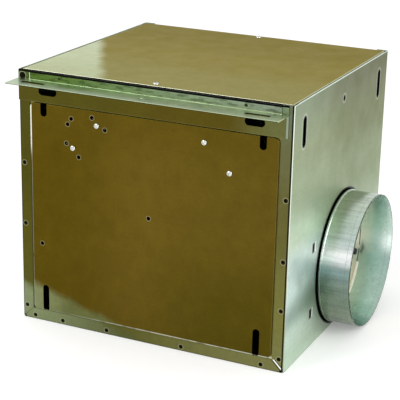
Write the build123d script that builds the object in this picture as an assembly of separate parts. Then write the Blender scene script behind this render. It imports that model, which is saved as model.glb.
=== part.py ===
from build123d import *
import os
from math import acos, cos, degrees, radians, sin, sqrt

# A cabinet exhaust fan in millimetres. It stands on its closed face with the
# room side up, under a lift-off cover. +X points out of the duct collar, +Y to
# the back and +Z up. The origin is the middle of the face it stands on.

os.makedirs("parts", exist_ok=True)

# Housing of folded sheet
housing_w = 430.0
housing_d = 400.0
housing_h = 390.0
sheet = 1.0
strip_w = 18.0           # strips folded inward round the front and the back
bend_r = 2.0             # outside radius of the folds at the upright edges
open_mitre = 1.25        # half of the open slit at the right front corner
closed_mitre = 0.25      # half of the slit at every other corner
relief_r = 1.6           # round relief where two folds meet
pan_lip_h = 13.0         # lips of the bottom pan inside the two sides
ledge_drop = 6.0         # cover ledge below the top edge
ledge_w = 17.0
ledge_end = 17.0         # open notch at each end of a ledge

# Slots for mounting brackets
slot_w = 10.5
slot_len = 42.0
slot_drop = 45.0         # middle of an upper slot below the top edge
slot_rise = 39.5         # middle of a lower slot above the floor
front_slot_inset = 42.5
side_slot_inset = 40.0
side_hole_r = 3.0
side_hole_drop = 33.0

# Front panel: a tray whose middle stands proud between the strips
panel_proud = 2.5
panel_gap = 1.3
panel_corner_r = 8.0
panel_bend_r = 1.2
panel_border_end = 8.0   # border behind the rail, above the raised middle

# Rail across the front and the mounting flange on it
rail_h = 46.0
rail_len = 422.0
rail_gap = 0.7
rail_slot_len = 30.0
rail_slot_w = 12.0
rail_slot_drop = 29.0
rail_slot_reach = 162.5  # from the rail's middle
flange_drop = 13.0
flange_reach = 38.0
flange_sheet = 1.5
flange_end = 19.5        # upright leg kept clear of the left strip
flange_slot_len = 36.0
flange_slot_w = 8.0
flange_slot_reach = 174.0
flange_hole_r = 2.5
flange_rivet_reach = 145.5

# Hollow rivets in the strips: heights on the sides, places along the bottom
rivet_r = 2.0
rivet_bore_r = 1.3
rivet_head_r = 2.7
rivet_head_t = 0.5
left_rivet_inset = 7.0
right_rivet_inset = 7.5
bottom_rivet_rise = 6.5
left_rivet_z = (20.7, 153.6, 248.8)
right_rivet_z = (20.4, 94.0, 167.1, 256.7)
bottom_rivet_x = (-193.7, -145.4, -69.7, 54.0, 180.3)
rail_rivet_drop = 9.0

# Cover and its two screws
cover_side_gap = 2.0
cover_front_gap = 4.5
cover_lip = 9.0
part_gap = 0.3           # between two bodies that only rest on each other
tab_w = 14.0
tab_reach = 30.0
cover_screw_inset = 16.0
cover_screw_len = 11.0
cover_lift = 120.0

# Screws with round heads
screw_r = 2.5
screw_head_r = 4.3
screw_head_h = 2.8
screw_clear = 0.3
nut_across = 8.0
nut_h = 3.5

# Blower: double-inlet wheel in a scroll that blows to the right
blower_z = 196.5
blower_y = 22.0
scroll_w = 204.0
scroll_step = 27.0       # side of the square that the volute's centres sit on
wheel_r = 100.0
tongue_clear = 9.5
tongue_r = 8.0
plate_margin = 8.0
plate_chamfer = 60.0
outlet_chamfer = 100.0
bell_r = 10.0
bell_throat_r = 82.0
bell_flange_w = 12.0
bell_end = 3.0           # straight end of the inlet ring
wheel_to_bell = 3.0
blade_count = 32
blade_t = 0.8
blade_inner_r = 84.0
blade_tip_lead = 7.5
wheel_ring_t = 3.0
disc_t = 1.5
hub_r = 14.0
hub_flange_r = 26.0
hub_flange_t = 3.0
hub_len = 24.0
hub_screw_r = 2.5

# Motor in the front inlet
shaft_r = 6.0
shaft_play = 0.03
motor_r = 48.0
motor_wall = 2.0
motor_len = 98.0
motor_gap = 5.0          # between the motor and the inlet ring's plane
bell_cap_t = 3.0
bearing_boss_r = 20.0
bearing_boss_len = 14.0
bearing_r = 15.0
bearing_w = 8.0
stator_inner_r = 30.0
stator_len = 45.0
air_gap = 0.4
winding_len = 8.0
band_w = 18.0
band_t = 2.0
arm_w = 18.0
arm_t = 2.0
arm_reach = 122.0        # bolt circle of the arms
arm_foot = 16.0
grommet_t = 3.0
grommet_r = 8.0
arm_bolt_r = 2.5
arm_head_r = 5.0
arm_head_h = 4.0

# Hangers between the front panel and the scroll, and their screws
hanger_screw_r = 151.5   # radius of the screw circle
hanger_angle = 44.5      # middle of a hanger, from straight up, where the rail leaves room
hanger_screw_drop = 20.0 # least distance of a hanger's screw below the raised middle's top
hanger_spread = 10.5     # half angle between its two screws
hanger_half_w = 38.0
hanger_foot = 24.0
hanger_t = 1.5
hanger_bolt_reach = 156.5 # bolts through the scroll, just outside its wall
hanger_bolt_half = 20.0
panel_hole_r = 2.5       # locating hole in line with the shaft
spare_hole_r = 2.1
spare_holes = ((181.5, -44.1), (179.6, -47.4), (164.7, -34.1), (140.4, -30.5),
               (163.2, -55.4), (136.4, -56.9), (191.0, -111.3))

# Duct collar and damper
collar_r = 101.5
collar_wall = 0.8
collar_len = 51.0
collar_inset = 15.0      # length of the collar inside the housing
collar_y = 22.0
collar_rise = 3.5        # lowest point of the collar above the floor
collar_hole_gap = 1.0
collar_tab_w = 14.0
collar_tab_h = 8.5
collar_tab_angles = (15, 52, 90, 128, 165, 212, 328)
gasket_t = 3.6
gasket_out = 2.8
bead_w = 2.4
bead_h = 1.5
collar_slit_r = 132.0
collar_slit_angle = 23.0
collar_slit_len = 10.0
collar_slit_w = 3.0
outlet_plate_margin = 3.0
outlet_plate_side = 2.5
blade_clear = 2.7
damper_t = 1.0
damper_rod_r = 2.5
damper_rod_drop = 20.0   # rod below the middle of the blade
damper_play = 0.05
damper_back = 1.8        # blade's face behind the right side's outer face
bushing_r = 4.0
bushing_len = 9.0
clip_r = 5.0
clip_h = 3.0
clip_reach = 76.0
spring_len = 10.0
spring_r = 4.5
spring_reach = 88.0
seal_t = 2.9
seal_w = 4.5

# Electrical pieces
box_w = 56.0
box_d = 62.0
box_h = 82.0
box_wall = 1.2
box_z = 228.0
box_back_gap = 5.0
knockout_r = 11.1
receptacle_w = 34.0
receptacle_h = 46.0
receptacle_d = 18.0
receptacle_face = 2.0
pin_slot_w = 2.2
pin_slot_h = 8.0
pin_spread = 6.5
box_screw_r = 1.9
box_screw_head_r = 3.6
box_screw_head_h = 2.0
box_screw_len = 6.0
box_screw_inset = 6.0
box_ear_w = 10.0
lid_skirt = 10.0
window_lap = 2.0         # receptacle's face over the edge of its window
thread_gap = 0.05
capacitor_r = 20.0
capacitor_len = 70.0
capacitor_x = -120.0
capacitor_z = 75.0
strap_w = 16.0
strap_t = 1.0
strap_foot = 16.0

# Planes and places that follow from the sizes
half_w = housing_w / 2
front = -housing_d / 2
back = housing_d / 2
floor_top = sheet
cover_under = housing_h - sheet
panel_face = front - panel_proud
panel_back = panel_face + sheet
raised_x = half_w - strip_w - panel_gap
raised_low = strip_w + panel_gap
raised_top = housing_h - rail_h - rail_gap
rail_x0 = -half_w
rail_x1 = rail_x0 + rail_len
rail_mid = (rail_x0 + rail_x1) / 2
rail_face = front - sheet
flange_top = housing_h - flange_drop
collar_z = collar_rise + collar_r
collar_start = half_w - collar_inset
collar_bore = collar_r - collar_wall
scroll_front = blower_y - scroll_w / 2
scroll_rear = blower_y + scroll_w / 2
scroll_end = collar_start - sheet
first_r = scroll_step / 2 + sqrt((wheel_r + tongue_clear) ** 2 - (scroll_step / 2) ** 2)
wheel_front = scroll_front - sheet + bell_r + bell_end + wheel_to_bell
wheel_rear = 2 * blower_y - wheel_front
screw_rise = min((raised_top - hanger_screw_drop - blower_z) / hanger_screw_r, 1)
hanger_turn = max(hanger_angle, degrees(acos(screw_rise)) + hanger_spread)
blade_x = half_w - damper_back - damper_t
damper_rod_x = blade_x - damper_rod_r
damper_rod_z = collar_z - damper_rod_drop
motor_rear = scroll_front - sheet + bell_r + bell_end - motor_gap
motor_front = motor_rear - motor_len

parts = {}


# Helpers
def block(x, y, z):
    """Box from three pairs of limits, each in either order."""
    limits = [(min(pair), max(pair)) for pair in (x, y, z)]
    sizes = [high - low for low, high in limits]
    middles = [(high + low) / 2 for low, high in limits]
    return Pos(*middles) * Box(*sizes)


def along_x(sketch, low, high):
    """Sketch drawn in (Y, Z), run from low to high along X."""
    return extrude(Plane.YZ.offset(low) * sketch, high - low)


def along_y(sketch, low, high):
    """Sketch drawn in (X, Z), run from low to high along Y."""
    return extrude(Plane.XZ.offset(-high) * sketch, high - low)


def along_z(sketch, low, high):
    """Sketch drawn in (X, Y), run from low to high along Z."""
    return extrude(Plane.XY.offset(low) * sketch, high - low)


def disc(radius, u=0.0, v=0.0):
    return Pos(u, v) * Circle(radius)


def ring(outer, inner, u=0.0, v=0.0):
    return Pos(u, v) * (Circle(outer) - Circle(inner))


def slot(length, width, u, v, turn=0.0):
    return Pos(u, v) * SlotOverall(length, width, rotation=turn)


def round_edges(solid, radius, keep):
    """Round the edges whose middle passes the test keep(x, y, z)."""
    chosen = [edge for edge in solid.edges() if keep(*tuple(edge.position_at(0.5)))]
    return fillet(chosen, radius)


def near(value, target):
    return abs(value - target) < 0.02


def about_shaft(solid, angle=0.0):
    """Place a solid drawn round the origin on the blower's axis, turned from straight up."""
    return Pos(0, 0, blower_z) * Rot(0, angle, 0) * solid


def mirrored(solid):
    """The same piece on the other side of the blower's middle plane."""
    return mirror(solid, Plane.XZ.offset(-blower_y))


def save(name, shape):
    """Keep one node: a solid, or a list of separate solids."""
    if isinstance(shape, (list, tuple)):
        shape = Compound([solid for piece in shape for solid in piece.solids()])
    parts[name] = shape


# Housing
def strip_outline(mitre):
    """Folded strip of the right side, in (X, Z), mitred at its foot."""
    inner = half_w - strip_w
    return Polygon((half_w, mitre + sheet), (half_w, housing_h), (inner, housing_h),
                   (inner, strip_w + mitre), align=None)


def cover_ledge():
    """Angle welded inside the right side, which the cover rests on."""
    run = (front + ledge_end, back - ledge_end)
    shelf = housing_h - ledge_drop
    ledge = block((half_w - 2 * sheet, half_w - sheet), run, (shelf - sheet, housing_h))
    ledge += block((half_w - 2 * sheet - ledge_w, half_w - sheet), run, (shelf - sheet, shelf))
    return ledge


def plain_side(mitre):
    """Right-hand side: wall and two folded strips."""
    wall = block((half_w - sheet, half_w), (front, back), (sheet, housing_h))
    wall += along_y(strip_outline(mitre), front, front + sheet)
    wall += along_y(strip_outline(closed_mitre), back - sheet, back)
    wall = round_edges(wall, bend_r,
                       lambda x, y, z: near(x, half_w) and near(abs(y), back) and z > strip_w)
    for y in (front + side_slot_inset, back - side_slot_inset):
        hole = slot(slot_len, slot_w, y, housing_h - slot_drop, 90)
        wall -= along_x(hole, half_w - 2 * sheet, half_w + sheet)
    hole = disc(side_hole_r, 0, housing_h - side_hole_drop)
    wall -= along_x(hole, half_w - 2 * sheet, half_w + sheet)
    wall -= along_y(disc(relief_r, half_w - sheet, sheet), front - sheet, front + 2 * sheet)
    return wall


def rivet_places():
    """Places (X, Z) of the rivets that hold the front panel."""
    left = [(-half_w + left_rivet_inset, z) for z in left_rivet_z]
    right = [(half_w - right_rivet_inset, z) for z in right_rivet_z]
    low = [(x, bottom_rivet_rise) for x in bottom_rivet_x]
    return left, right, low


def back_rivet_places():
    """Places (X, Z) of the rivets that hold the back panel."""
    reach = half_w - left_rivet_inset
    side = [(s * reach, z) for s in (-1, 1) for z in left_rivet_z + (housing_h * 0.87,)]
    return side + [(x, bottom_rivet_rise) for x in (-housing_w / 4, 0, housing_w / 4)]


def rivet_holes(places, low, high):
    return [along_y(disc(rivet_r, x, z), low, high) for x, z in places]


def rail_rivet_places():
    height = housing_h - rail_rivet_drop
    return [(rail_x0 + left_rivet_inset, height)]


def at_folds(side):
    """A side as three solids that meet at its folds: the sheet, then the front and the back strips."""
    runs = ((front + bend_r, back - bend_r), (front, front + bend_r), (back - bend_r, back))
    return [side & block((-housing_w, housing_w), run, (-sheet, housing_h + sheet)) for run in runs]


def make_sides():
    left, right, _ = rivet_places()
    behind = back_rivet_places()
    top = rail_rivet_places()
    side = plain_side(open_mitre)
    side -= rivet_holes(right, front - sheet, front + 2 * sheet)
    side -= rivet_holes([p for p in behind if p[0] > 0], back - 2 * sheet, back + sheet)
    side -= along_x(disc(collar_r + collar_hole_gap, collar_y, collar_z), half_w - 2 * sheet, half_w + sheet)
    for angle in (180 - collar_slit_angle, 180 + collar_slit_angle):
        y = collar_y + collar_slit_r * cos(radians(angle))
        z = collar_z + collar_slit_r * sin(radians(angle))
        slit = slot(collar_slit_len, collar_slit_w, y, z, angle + 90)
        side -= along_x(slit, half_w - 2 * sheet, half_w + sheet)
    save("right_side", at_folds(side) + [cover_ledge()])
    side = mirror(plain_side(closed_mitre), Plane.YZ)
    side -= rivet_holes(left + top, front - sheet, front + 2 * sheet)
    side -= rivet_holes([p for p in behind if p[0] < 0], back - 2 * sheet, back + sheet)
    side -= along_x(disc(knockout_r, box_y(), box_mid_z()), -half_w - sheet, -half_w + 2 * sheet)
    save("left_side", at_folds(side) + [mirror(cover_ledge(), Plane.YZ)])


def make_bottom_pan():
    pan = block((-half_w, half_w), (front, back), (0, sheet))
    inner = half_w - strip_w
    left_mitre = (-half_w + closed_mitre, -inner + closed_mitre)
    for y, mitre in ((front, open_mitre), (back - sheet, closed_mitre)):
        lip = Polygon((left_mitre[0], 0), (half_w - mitre, 0), (inner - mitre, strip_w),
                      (left_mitre[1], strip_w), align=None)
        pan += along_y(lip, y, y + sheet)
    pan = round_edges(pan, bend_r * 0.75, lambda x, y, z: near(z, 0) and near(abs(y), back))
    for sign in (-1, 1):
        run = (front + 2 * sheet, back - 2 * sheet)
        lip = block((sign * (half_w - sheet), sign * (half_w - 2 * sheet)), run, (sheet, sheet + pan_lip_h))
        if sign > 0:
            reach = 0.6 * collar_r
            lip -= block((0, half_w), (collar_y - reach, collar_y + reach), (0, housing_h))
        pan += lip
    pan -= rivet_holes(rivet_places()[2], front - sheet, front + 2 * sheet)
    pan -= rivet_holes(back_rivet_places()[-3:], back - 2 * sheet, back + sheet)
    for sign in (-1, 1):
        pan -= along_y(disc(relief_r, sign * (half_w - sheet), sheet), front - sheet, front + 2 * sheet)
    save("bottom_pan", pan)


def cover_tab(y_wall, y_tip):
    """Tab folded in from a wall under the cover, with its screw hole."""
    top = cover_under - part_gap
    tab = block((-tab_w / 2, tab_w / 2), (y_wall, y_tip), (top - sheet, top))
    hole_y = (-1 if y_wall < 0 else 1) * (back - cover_screw_inset)
    return tab - along_z(disc(screw_r + screw_clear, 0, hole_y), top - 2 * sheet, top + sheet)


def make_back_panel():
    reach = half_w - 2 * sheet - 0.5
    low = 2 * sheet
    panel = block((-reach, reach), (back - 2 * sheet, back - sheet), (low, cover_under - part_gap))
    panel += cover_tab(back - 2 * sheet, back - tab_reach)
    panel -= rivet_holes(back_rivet_places(), back - 3 * sheet, back)
    save("back_panel", panel)


def raised_outline(inset=0.0):
    """Raised middle of the front panel, in (X, Z)."""
    width = 2 * (raised_x - inset)
    height = raised_top - raised_low - 2 * inset
    corner = panel_corner_r - inset
    return Pos(0, (raised_top + raised_low) / 2) * RectangleRounded(width, height, corner)


def panel_screw_places():
    """Places (X, Z) of the four round-head screws."""
    places = []
    for side in (-1, 1):
        for step in (-1, 1):
            angle = radians(side * (hanger_turn + step * hanger_spread))
            places.append((hanger_screw_r * sin(angle), blower_z + hanger_screw_r * cos(angle)))
    return places


def make_front_panel():
    border_x = half_w - 2 * sheet - 0.5
    low = 2 * sheet
    high = raised_top + panel_border_end
    border = Pos(0, (low + high) / 2) * Rectangle(2 * border_x, high - low)
    panel = along_y(border, front + sheet, front + 2 * sheet)
    shell = along_y(raised_outline(), panel_face, front + 2 * sheet)
    panel += round_edges(shell, panel_bend_r, lambda x, y, z: near(y, panel_face))
    panel -= along_y(raised_outline(sheet), panel_back, front + 3 * sheet)
    cut = (panel_face - sheet, front + 3 * sheet)
    for x in (-half_w + front_slot_inset, half_w - front_slot_inset):
        for z in (slot_rise, housing_h - slot_drop):
            panel -= along_y(slot(slot_len, slot_w, x, z, 90), *cut)
    for x, z in panel_screw_places():
        panel -= along_y(disc(screw_r + screw_clear, x, z), *cut)
    for radius, angle in spare_holes:
        x = radius * sin(radians(angle))
        z = blower_z + radius * cos(radians(angle))
        panel -= along_y(disc(spare_hole_r, x, z), *cut)
    panel -= along_y(disc(panel_hole_r, 0, blower_z), *cut)
    left, right, low_row = rivet_places()
    panel -= rivet_holes(left + right + low_row, front, front + 3 * sheet)
    save("front_panel", panel)


def make_rail():
    low = housing_h - rail_h
    rail = block((rail_x0, rail_x1), (rail_face, front), (low, housing_h - 0.5))
    for sign in (-1, 1):
        x = rail_mid + sign * rail_slot_reach
        hole = slot(rail_slot_len, rail_slot_w, x, housing_h - rail_slot_drop)
        rail -= along_y(hole, rail_face - sheet, front + sheet)
    rail += cover_tab(front, front + tab_reach)
    rail -= rivet_holes(rail_rivet_places(), rail_face - sheet, front + sheet)
    rail -= rivet_holes(flange_rivet_places(), rail_face - sheet, front + sheet)
    save("top_rail", rail)


def flange_rivet_places():
    height = flange_top + (flange_drop - 1) / 2
    return [(-flange_rivet_reach, height), (flange_rivet_reach, height)]


def make_mounting_flange():
    leg_face = rail_face - flange_sheet
    tip = front - flange_reach
    flat = block((rail_x0, rail_x1), (tip, rail_face), (flange_top - flange_sheet, flange_top))
    upright = (rail_x0 + flange_end, rail_x1 - flange_end / 2)
    leg = block(upright, (leg_face, rail_face), (flange_top - flange_sheet, housing_h - 1))
    angle = round_edges(flat + leg, 0.6, lambda x, y, z: near(y, tip))
    middle = (tip + leg_face) / 2
    for sign in (-1, 1):
        hole = slot(flange_slot_len, flange_slot_w, rail_mid + sign * flange_slot_reach, middle)
        angle -= along_z(hole, flange_top - 2 * flange_sheet, flange_top + sheet)
    hole = disc(flange_hole_r, rail_mid, middle)
    angle -= along_z(hole, flange_top - 2 * flange_sheet, flange_top + sheet)
    angle -= rivet_holes(flange_rivet_places(), leg_face - sheet, rail_face + sheet)
    save("mounting_flange", angle)


def hollow_rivet(x, z, face, depth, toward=-1):
    """Eyelet rivet: a ring head on the face and a sleeve through the sheets."""
    inner = face - toward * depth
    outer = face + toward * rivet_head_t
    head = along_y(ring(rivet_head_r, rivet_bore_r, x, z), min(face, outer), max(face, outer))
    return head + along_y(ring(rivet_r, rivet_bore_r, x, z), min(face, inner), max(face, inner))


def make_rivets():
    left, right, low = rivet_places()
    depth = 2 * sheet + rivet_head_t
    front_row = [hollow_rivet(x, z, front, depth) for x, z in left + right + low]
    front_row += [hollow_rivet(x, z, rail_face, depth) for x, z in rail_rivet_places()]
    back_row = [hollow_rivet(x, z, back, depth, 1) for x, z in back_rivet_places()]
    save("seam_rivets", front_row + back_row)
    face = rail_face - flange_sheet
    depth = flange_sheet + sheet + rivet_head_t
    save("flange_rivets", [hollow_rivet(x, z, face, depth) for x, z in flange_rivet_places()])


# Cover
def make_cover():
    half = half_w - 2 * sheet - cover_side_gap
    near_y = front + sheet + cover_front_gap
    far_y = -near_y
    cover = block((-half, half), (near_y, far_y), (cover_under, housing_h))
    shelf = housing_h - ledge_drop + part_gap
    lip = block((-half, half), (near_y, far_y), (cover_under - cover_lip, cover_under))
    lip -= block((-half + sheet, half - sheet), (near_y + sheet, far_y - sheet), (0, housing_h))
    lip -= block((-half_w, half_w), (near_y + sheet, far_y - sheet), (0, shelf))
    ends = ledge_w + 3 * sheet
    for sign in (-1, 1):
        lip -= block((sign * (half_w - ends), sign * half_w), (front, back), (0, shelf))
    notch = tab_w / 2 + 2 * part_gap
    lip -= block((-notch, notch), (front, back), (0, cover_under))
    cover = round_edges(cover + lip, 0.7, lambda x, y, z: near(z, housing_h))
    hole_y = back - cover_screw_inset
    for y in (-hole_y, hole_y):
        cover -= along_z(disc(screw_r + 0.05, 0, y), cover_under - sheet, housing_h + sheet)
    save("top_cover", cover)
    screws = []
    for y in (-hole_y, hole_y):
        shank = along_z(disc(screw_r, 0, y), housing_h - cover_screw_len, housing_h)
        screws.append(shank + Pos(0, y, housing_h) * round_head())
    save("cover_screws", screws)


def round_head():
    """Low round screw head on the plane Z = 0."""
    head = Pos(0, 0, screw_head_h / 2) * Cylinder(screw_head_r, screw_head_h)
    head = fillet(head.edges().group_by(Axis.Z)[-1], screw_head_h * 0.8)
    for turn in (0, 90):
        head -= Pos(0, 0, screw_head_h) * Rot(0, 0, turn) * Box(screw_head_r, 0.9, 1.8)
    return head


# Blower
def volute_centres():
    """Centres (X, Z) of the three quarter arcs of the volute."""
    half = scroll_step / 2
    return ((-half, blower_z + half), (-half, blower_z - half), (half, blower_z - half))


def make_scroll_wrap():
    edges = []
    for number, (x, z) in enumerate(volute_centres()):
        radius = first_r + number * scroll_step
        for wall in (0, sheet):
            edges.append(CenterArc((x, z), radius + wall, 90 * number, 90))
    x, z = volute_centres()[-1]
    low = z - first_r - 2 * scroll_step
    start_x, start_z = volute_centres()[0]
    edges.append(Line((x, low), (scroll_end, low)))
    edges.append(Line((x, low - sheet), (scroll_end, low - sheet)))
    edges.append(Line((scroll_end, low), (scroll_end, low - sheet)))
    edges.append(Line((start_x + first_r, start_z), (start_x + first_r + sheet, start_z)))
    save("scroll_wrap", along_y(make_face(edges), scroll_front, scroll_rear))


def make_scroll_tongue():
    x, z = volute_centres()[0]
    nose_x = x + first_r + tongue_r
    nose = ring(tongue_r, tongue_r - sheet, nose_x, z)
    nose = nose & (Pos(nose_x - tongue_r / 2, z - tongue_r / 2) * Rectangle(tongue_r, tongue_r))
    tongue = along_y(nose, scroll_front, scroll_rear)
    low = z - tongue_r
    tongue += block((nose_x, scroll_end), (scroll_front, scroll_rear), (low, low + sheet))
    save("scroll_tongue", tongue)


def scroll_plate(low, high):
    """Side plate of the scroll, with cut corners and the inlet hole."""
    left = -scroll_step / 2 - first_r - scroll_step - sheet - plate_margin
    top = blower_z + scroll_step / 2 + first_r + sheet + plate_margin
    foot = 2 * sheet
    right = scroll_end
    outline = Polygon((left + plate_chamfer, foot), (right, foot), (right, top - outlet_chamfer),
                      (right - outlet_chamfer, top), (left + plate_chamfer, top),
                      (left, top - plate_chamfer), (left, foot + plate_chamfer), align=None)
    outline -= disc(bell_throat_r + bell_r, 0, blower_z)
    return along_y(outline, low, high)


def hanger_bolt_holes(low, high):
    holes = []
    for side in (-1, 1):
        for x in (-hanger_bolt_half, hanger_bolt_half):
            hole = along_y(disc(screw_r + screw_clear, x, hanger_bolt_reach), low, high)
            holes.append(about_shaft(hole, side * hanger_turn))
    return holes


def arm_bolt_holes(low, high):
    hole = along_y(disc(arm_bolt_r + screw_clear, 0, arm_reach), low, high)
    return [about_shaft(hole, angle) for angle in (0, 120, 240)]


def make_scroll_plates():
    low, high = scroll_front - sheet, scroll_front
    plate = scroll_plate(low, high)
    plate -= hanger_bolt_holes(low - sheet, high + sheet)
    plate -= arm_bolt_holes(low - sheet, high + sheet)
    save("scroll_front_plate", plate)
    save("scroll_rear_plate", scroll_plate(scroll_rear, scroll_rear + sheet))


def make_inlet_rings():
    """Bell-mouthed rings on the outside of the two scroll plates."""
    face = scroll_front - sheet
    start = face - sheet
    mouth_r = bell_throat_r + bell_r
    turn_y = start + bell_r
    end_y = turn_y + bell_end
    inner = bell_throat_r + sheet
    diag = sin(radians(45))
    far = (mouth_r - bell_r * diag, turn_y - bell_r * diag)
    close = (mouth_r - (bell_r - sheet) * diag, turn_y - (bell_r - sheet) * diag)
    outline = [
        Line((mouth_r + bell_flange_w, start), (mouth_r, start)),
        ThreePointArc((mouth_r, start), far, (bell_throat_r, turn_y)),
        Line((bell_throat_r, turn_y), (bell_throat_r, end_y)),
        Line((bell_throat_r, end_y), (inner, end_y)),
        Line((inner, end_y), (inner, turn_y)),
        ThreePointArc((inner, turn_y), close, (mouth_r, face)),
        Line((mouth_r, face), (mouth_r + bell_flange_w, face)),
        Line((mouth_r + bell_flange_w, face), (mouth_r + bell_flange_w, start))]
    bell = Pos(0, 0, blower_z) * revolve(make_face(outline), Axis.Y)
    save("front_inlet_ring", bell)
    save("rear_inlet_ring", mirrored(bell))


def blade_section():
    """One forward-curved blade, in (X, Z), on the right of the axis."""
    inner = blade_inner_r
    tip = wheel_r - 0.8
    span = tip - inner
    mid = (inner + span * 0.6, blade_tip_lead * 0.3)
    front_arc = ThreePointArc((inner, 0), mid, (tip, blade_tip_lead))
    rear_arc = ThreePointArc((inner, -blade_t), (mid[0] + 0.3, mid[1] - blade_t), (tip, blade_tip_lead - 1.3 * blade_t))
    return make_face([front_arc, rear_arc, Line((inner, 0), (inner, -blade_t)),
                      Line((tip, blade_tip_lead), (tip, blade_tip_lead - 1.3 * blade_t))])


def make_wheel():
    disc_low = blower_y - disc_t / 2
    disc_high = blower_y + disc_t / 2
    front_ring = (wheel_front, wheel_front + wheel_ring_t)
    for name, low, high in (("wheel_blades_front", front_ring[1], disc_low),
                            ("wheel_blades_rear", disc_high, wheel_rear - wheel_ring_t)):
        blade = along_y(blade_section(), low, high)
        turns = [number * 360 / blade_count for number in range(blade_count)]
        save(name, [about_shaft(blade, angle) for angle in turns])
    end_ring = along_y(ring(wheel_r, blade_inner_r - 1, 0, blower_z), *front_ring)
    save("wheel_front_ring", end_ring)
    save("wheel_rear_ring", mirrored(end_ring))
    save("wheel_disc", along_y(ring(wheel_r, hub_r, 0, blower_z), disc_low, disc_high))
    hub_low = disc_high + hub_flange_t - hub_len
    bore = shaft_r + shaft_play
    hub = along_y(ring(hub_r, bore, 0, blower_z), hub_low, disc_high + hub_flange_t)
    hub += along_y(ring(hub_flange_r, bore, 0, blower_z), disc_high, disc_high + hub_flange_t)
    screw_y = (hub_low + disc_low) / 2
    tapped = along_z(disc(hub_screw_r, 0, screw_y), blower_z, blower_z + hub_r + sheet)
    save("wheel_hub", hub - tapped)
    save("hub_set_screw", along_z(disc(hub_screw_r, 0, screw_y), blower_z + bore, blower_z + hub_r))


# Motor
def make_motor():
    shell_low = motor_front + bearing_boss_len
    shell_high = motor_rear - bearing_boss_len
    bore = motor_r - motor_wall
    mid = (shell_low + shell_high) / 2
    shaft_end = blower_y + disc_t / 2 + hub_flange_t + 6
    save("motor_shell", along_y(ring(motor_r, bore, 0, blower_z), shell_low, shell_high))
    pocket = bearing_boss_len - bearing_w - sheet
    bearings, clips = [], []
    for name, cap, outer in (("front", (shell_low - bell_cap_t, shell_low), motor_front),
                             ("rear", (shell_high, shell_high + bell_cap_t), motor_rear)):
        bell = along_y(disc(motor_r, 0, blower_z), *cap)
        inward = cap[1] if name == "front" else cap[0]
        bell += along_y(disc(bearing_boss_r, 0, blower_z), min(outer, inward), max(outer, inward))
        toward = 1 if name == "front" else -1
        seat = outer + toward * sheet
        bell -= along_y(disc(bearing_r, 0, blower_z), min(seat, inward), max(seat, inward))
        bell -= along_y(disc(shaft_r + 1, 0, blower_z), motor_front - 1, motor_rear + 1)
        save("motor_" + name + "_bell", bell)
        race = (seat, seat + toward * bearing_w)
        bearings.append(along_y(ring(bearing_r, shaft_r + shaft_play, 0, blower_z), min(race), max(race)))
        clip = (race[1], race[1] + toward * pocket)
        clips.append(along_y(ring(bearing_r, shaft_r + 4, 0, blower_z), min(clip), max(clip)))
    save("motor_bearings", bearings)
    save("bearing_clips", clips)
    half = stator_len / 2
    save("motor_stator", along_y(ring(bore, stator_inner_r, 0, blower_z), mid - half, mid + half))
    winding = ring(bore - 2, stator_inner_r + 1.5, 0, blower_z)
    save("motor_windings", [along_y(winding, mid - half - winding_len, mid - half),
                            along_y(winding, mid + half, mid + half + winding_len)])
    rotor = ring(stator_inner_r - air_gap, shaft_r, 0, blower_z)
    save("motor_rotor", along_y(rotor, mid - half, mid + half))
    save("motor_shaft", along_y(disc(shaft_r, 0, blower_z), motor_front - 6, shaft_end))


def make_motor_mount():
    shell_low = motor_front + bearing_boss_len
    shell_high = motor_rear - bearing_boss_len
    mid = (shell_low + shell_high) / 2
    band = (mid - band_w / 2, mid + band_w / 2)
    outer = motor_r + band_t
    save("motor_band", along_y(ring(outer, motor_r, 0, blower_z), *band))
    plate_face = scroll_front - sheet
    foot_high = plate_face - grommet_t
    foot_low = foot_high - arm_t
    knee = arm_reach - arm_foot / 2 - arm_t
    arm = block((-arm_w / 2, arm_w / 2), (mid - arm_t / 2, mid + arm_t / 2), (outer - sheet, knee + arm_t))
    arm -= along_y(disc(outer), *band)
    arm += block((-arm_w / 2, arm_w / 2), (mid - arm_t / 2, foot_high), (knee, knee + arm_t))
    arm += block((-arm_w / 2, arm_w / 2), (foot_low, foot_high), (knee, knee + arm_foot + arm_t))
    arm -= along_y(disc(arm_bolt_r + screw_clear, 0, arm_reach), foot_low - 1, foot_high + 1)
    grommet = along_y(ring(grommet_r, arm_bolt_r + screw_clear, 0, arm_reach), foot_high, plate_face)
    nut_low = scroll_front
    bolt = along_y(disc(arm_head_r, 0, arm_reach), foot_low - arm_head_h, foot_low)
    bolt += along_y(disc(arm_bolt_r, 0, arm_reach), foot_low, nut_low + nut_h + 1)
    hexagon = Pos(0, arm_reach) * (RegularPolygon(nut_across / 2, 6, major_radius=False) - Circle(arm_bolt_r + 0.05))
    nut = along_y(hexagon, nut_low, nut_low + nut_h)
    angles = (0, 120, 240)
    for name, solid in (("motor_arms", arm), ("arm_grommets", grommet), ("arm_bolts", bolt), ("arm_nuts", nut)):
        save(name, [about_shaft(solid, angle) for angle in angles])


# Hangers
def hanger_chord():
    return hanger_screw_r * cos(radians(hanger_spread))


def hanger_screw_offsets():
    offset = hanger_screw_r * sin(radians(hanger_spread))
    return (-offset, offset)


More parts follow.
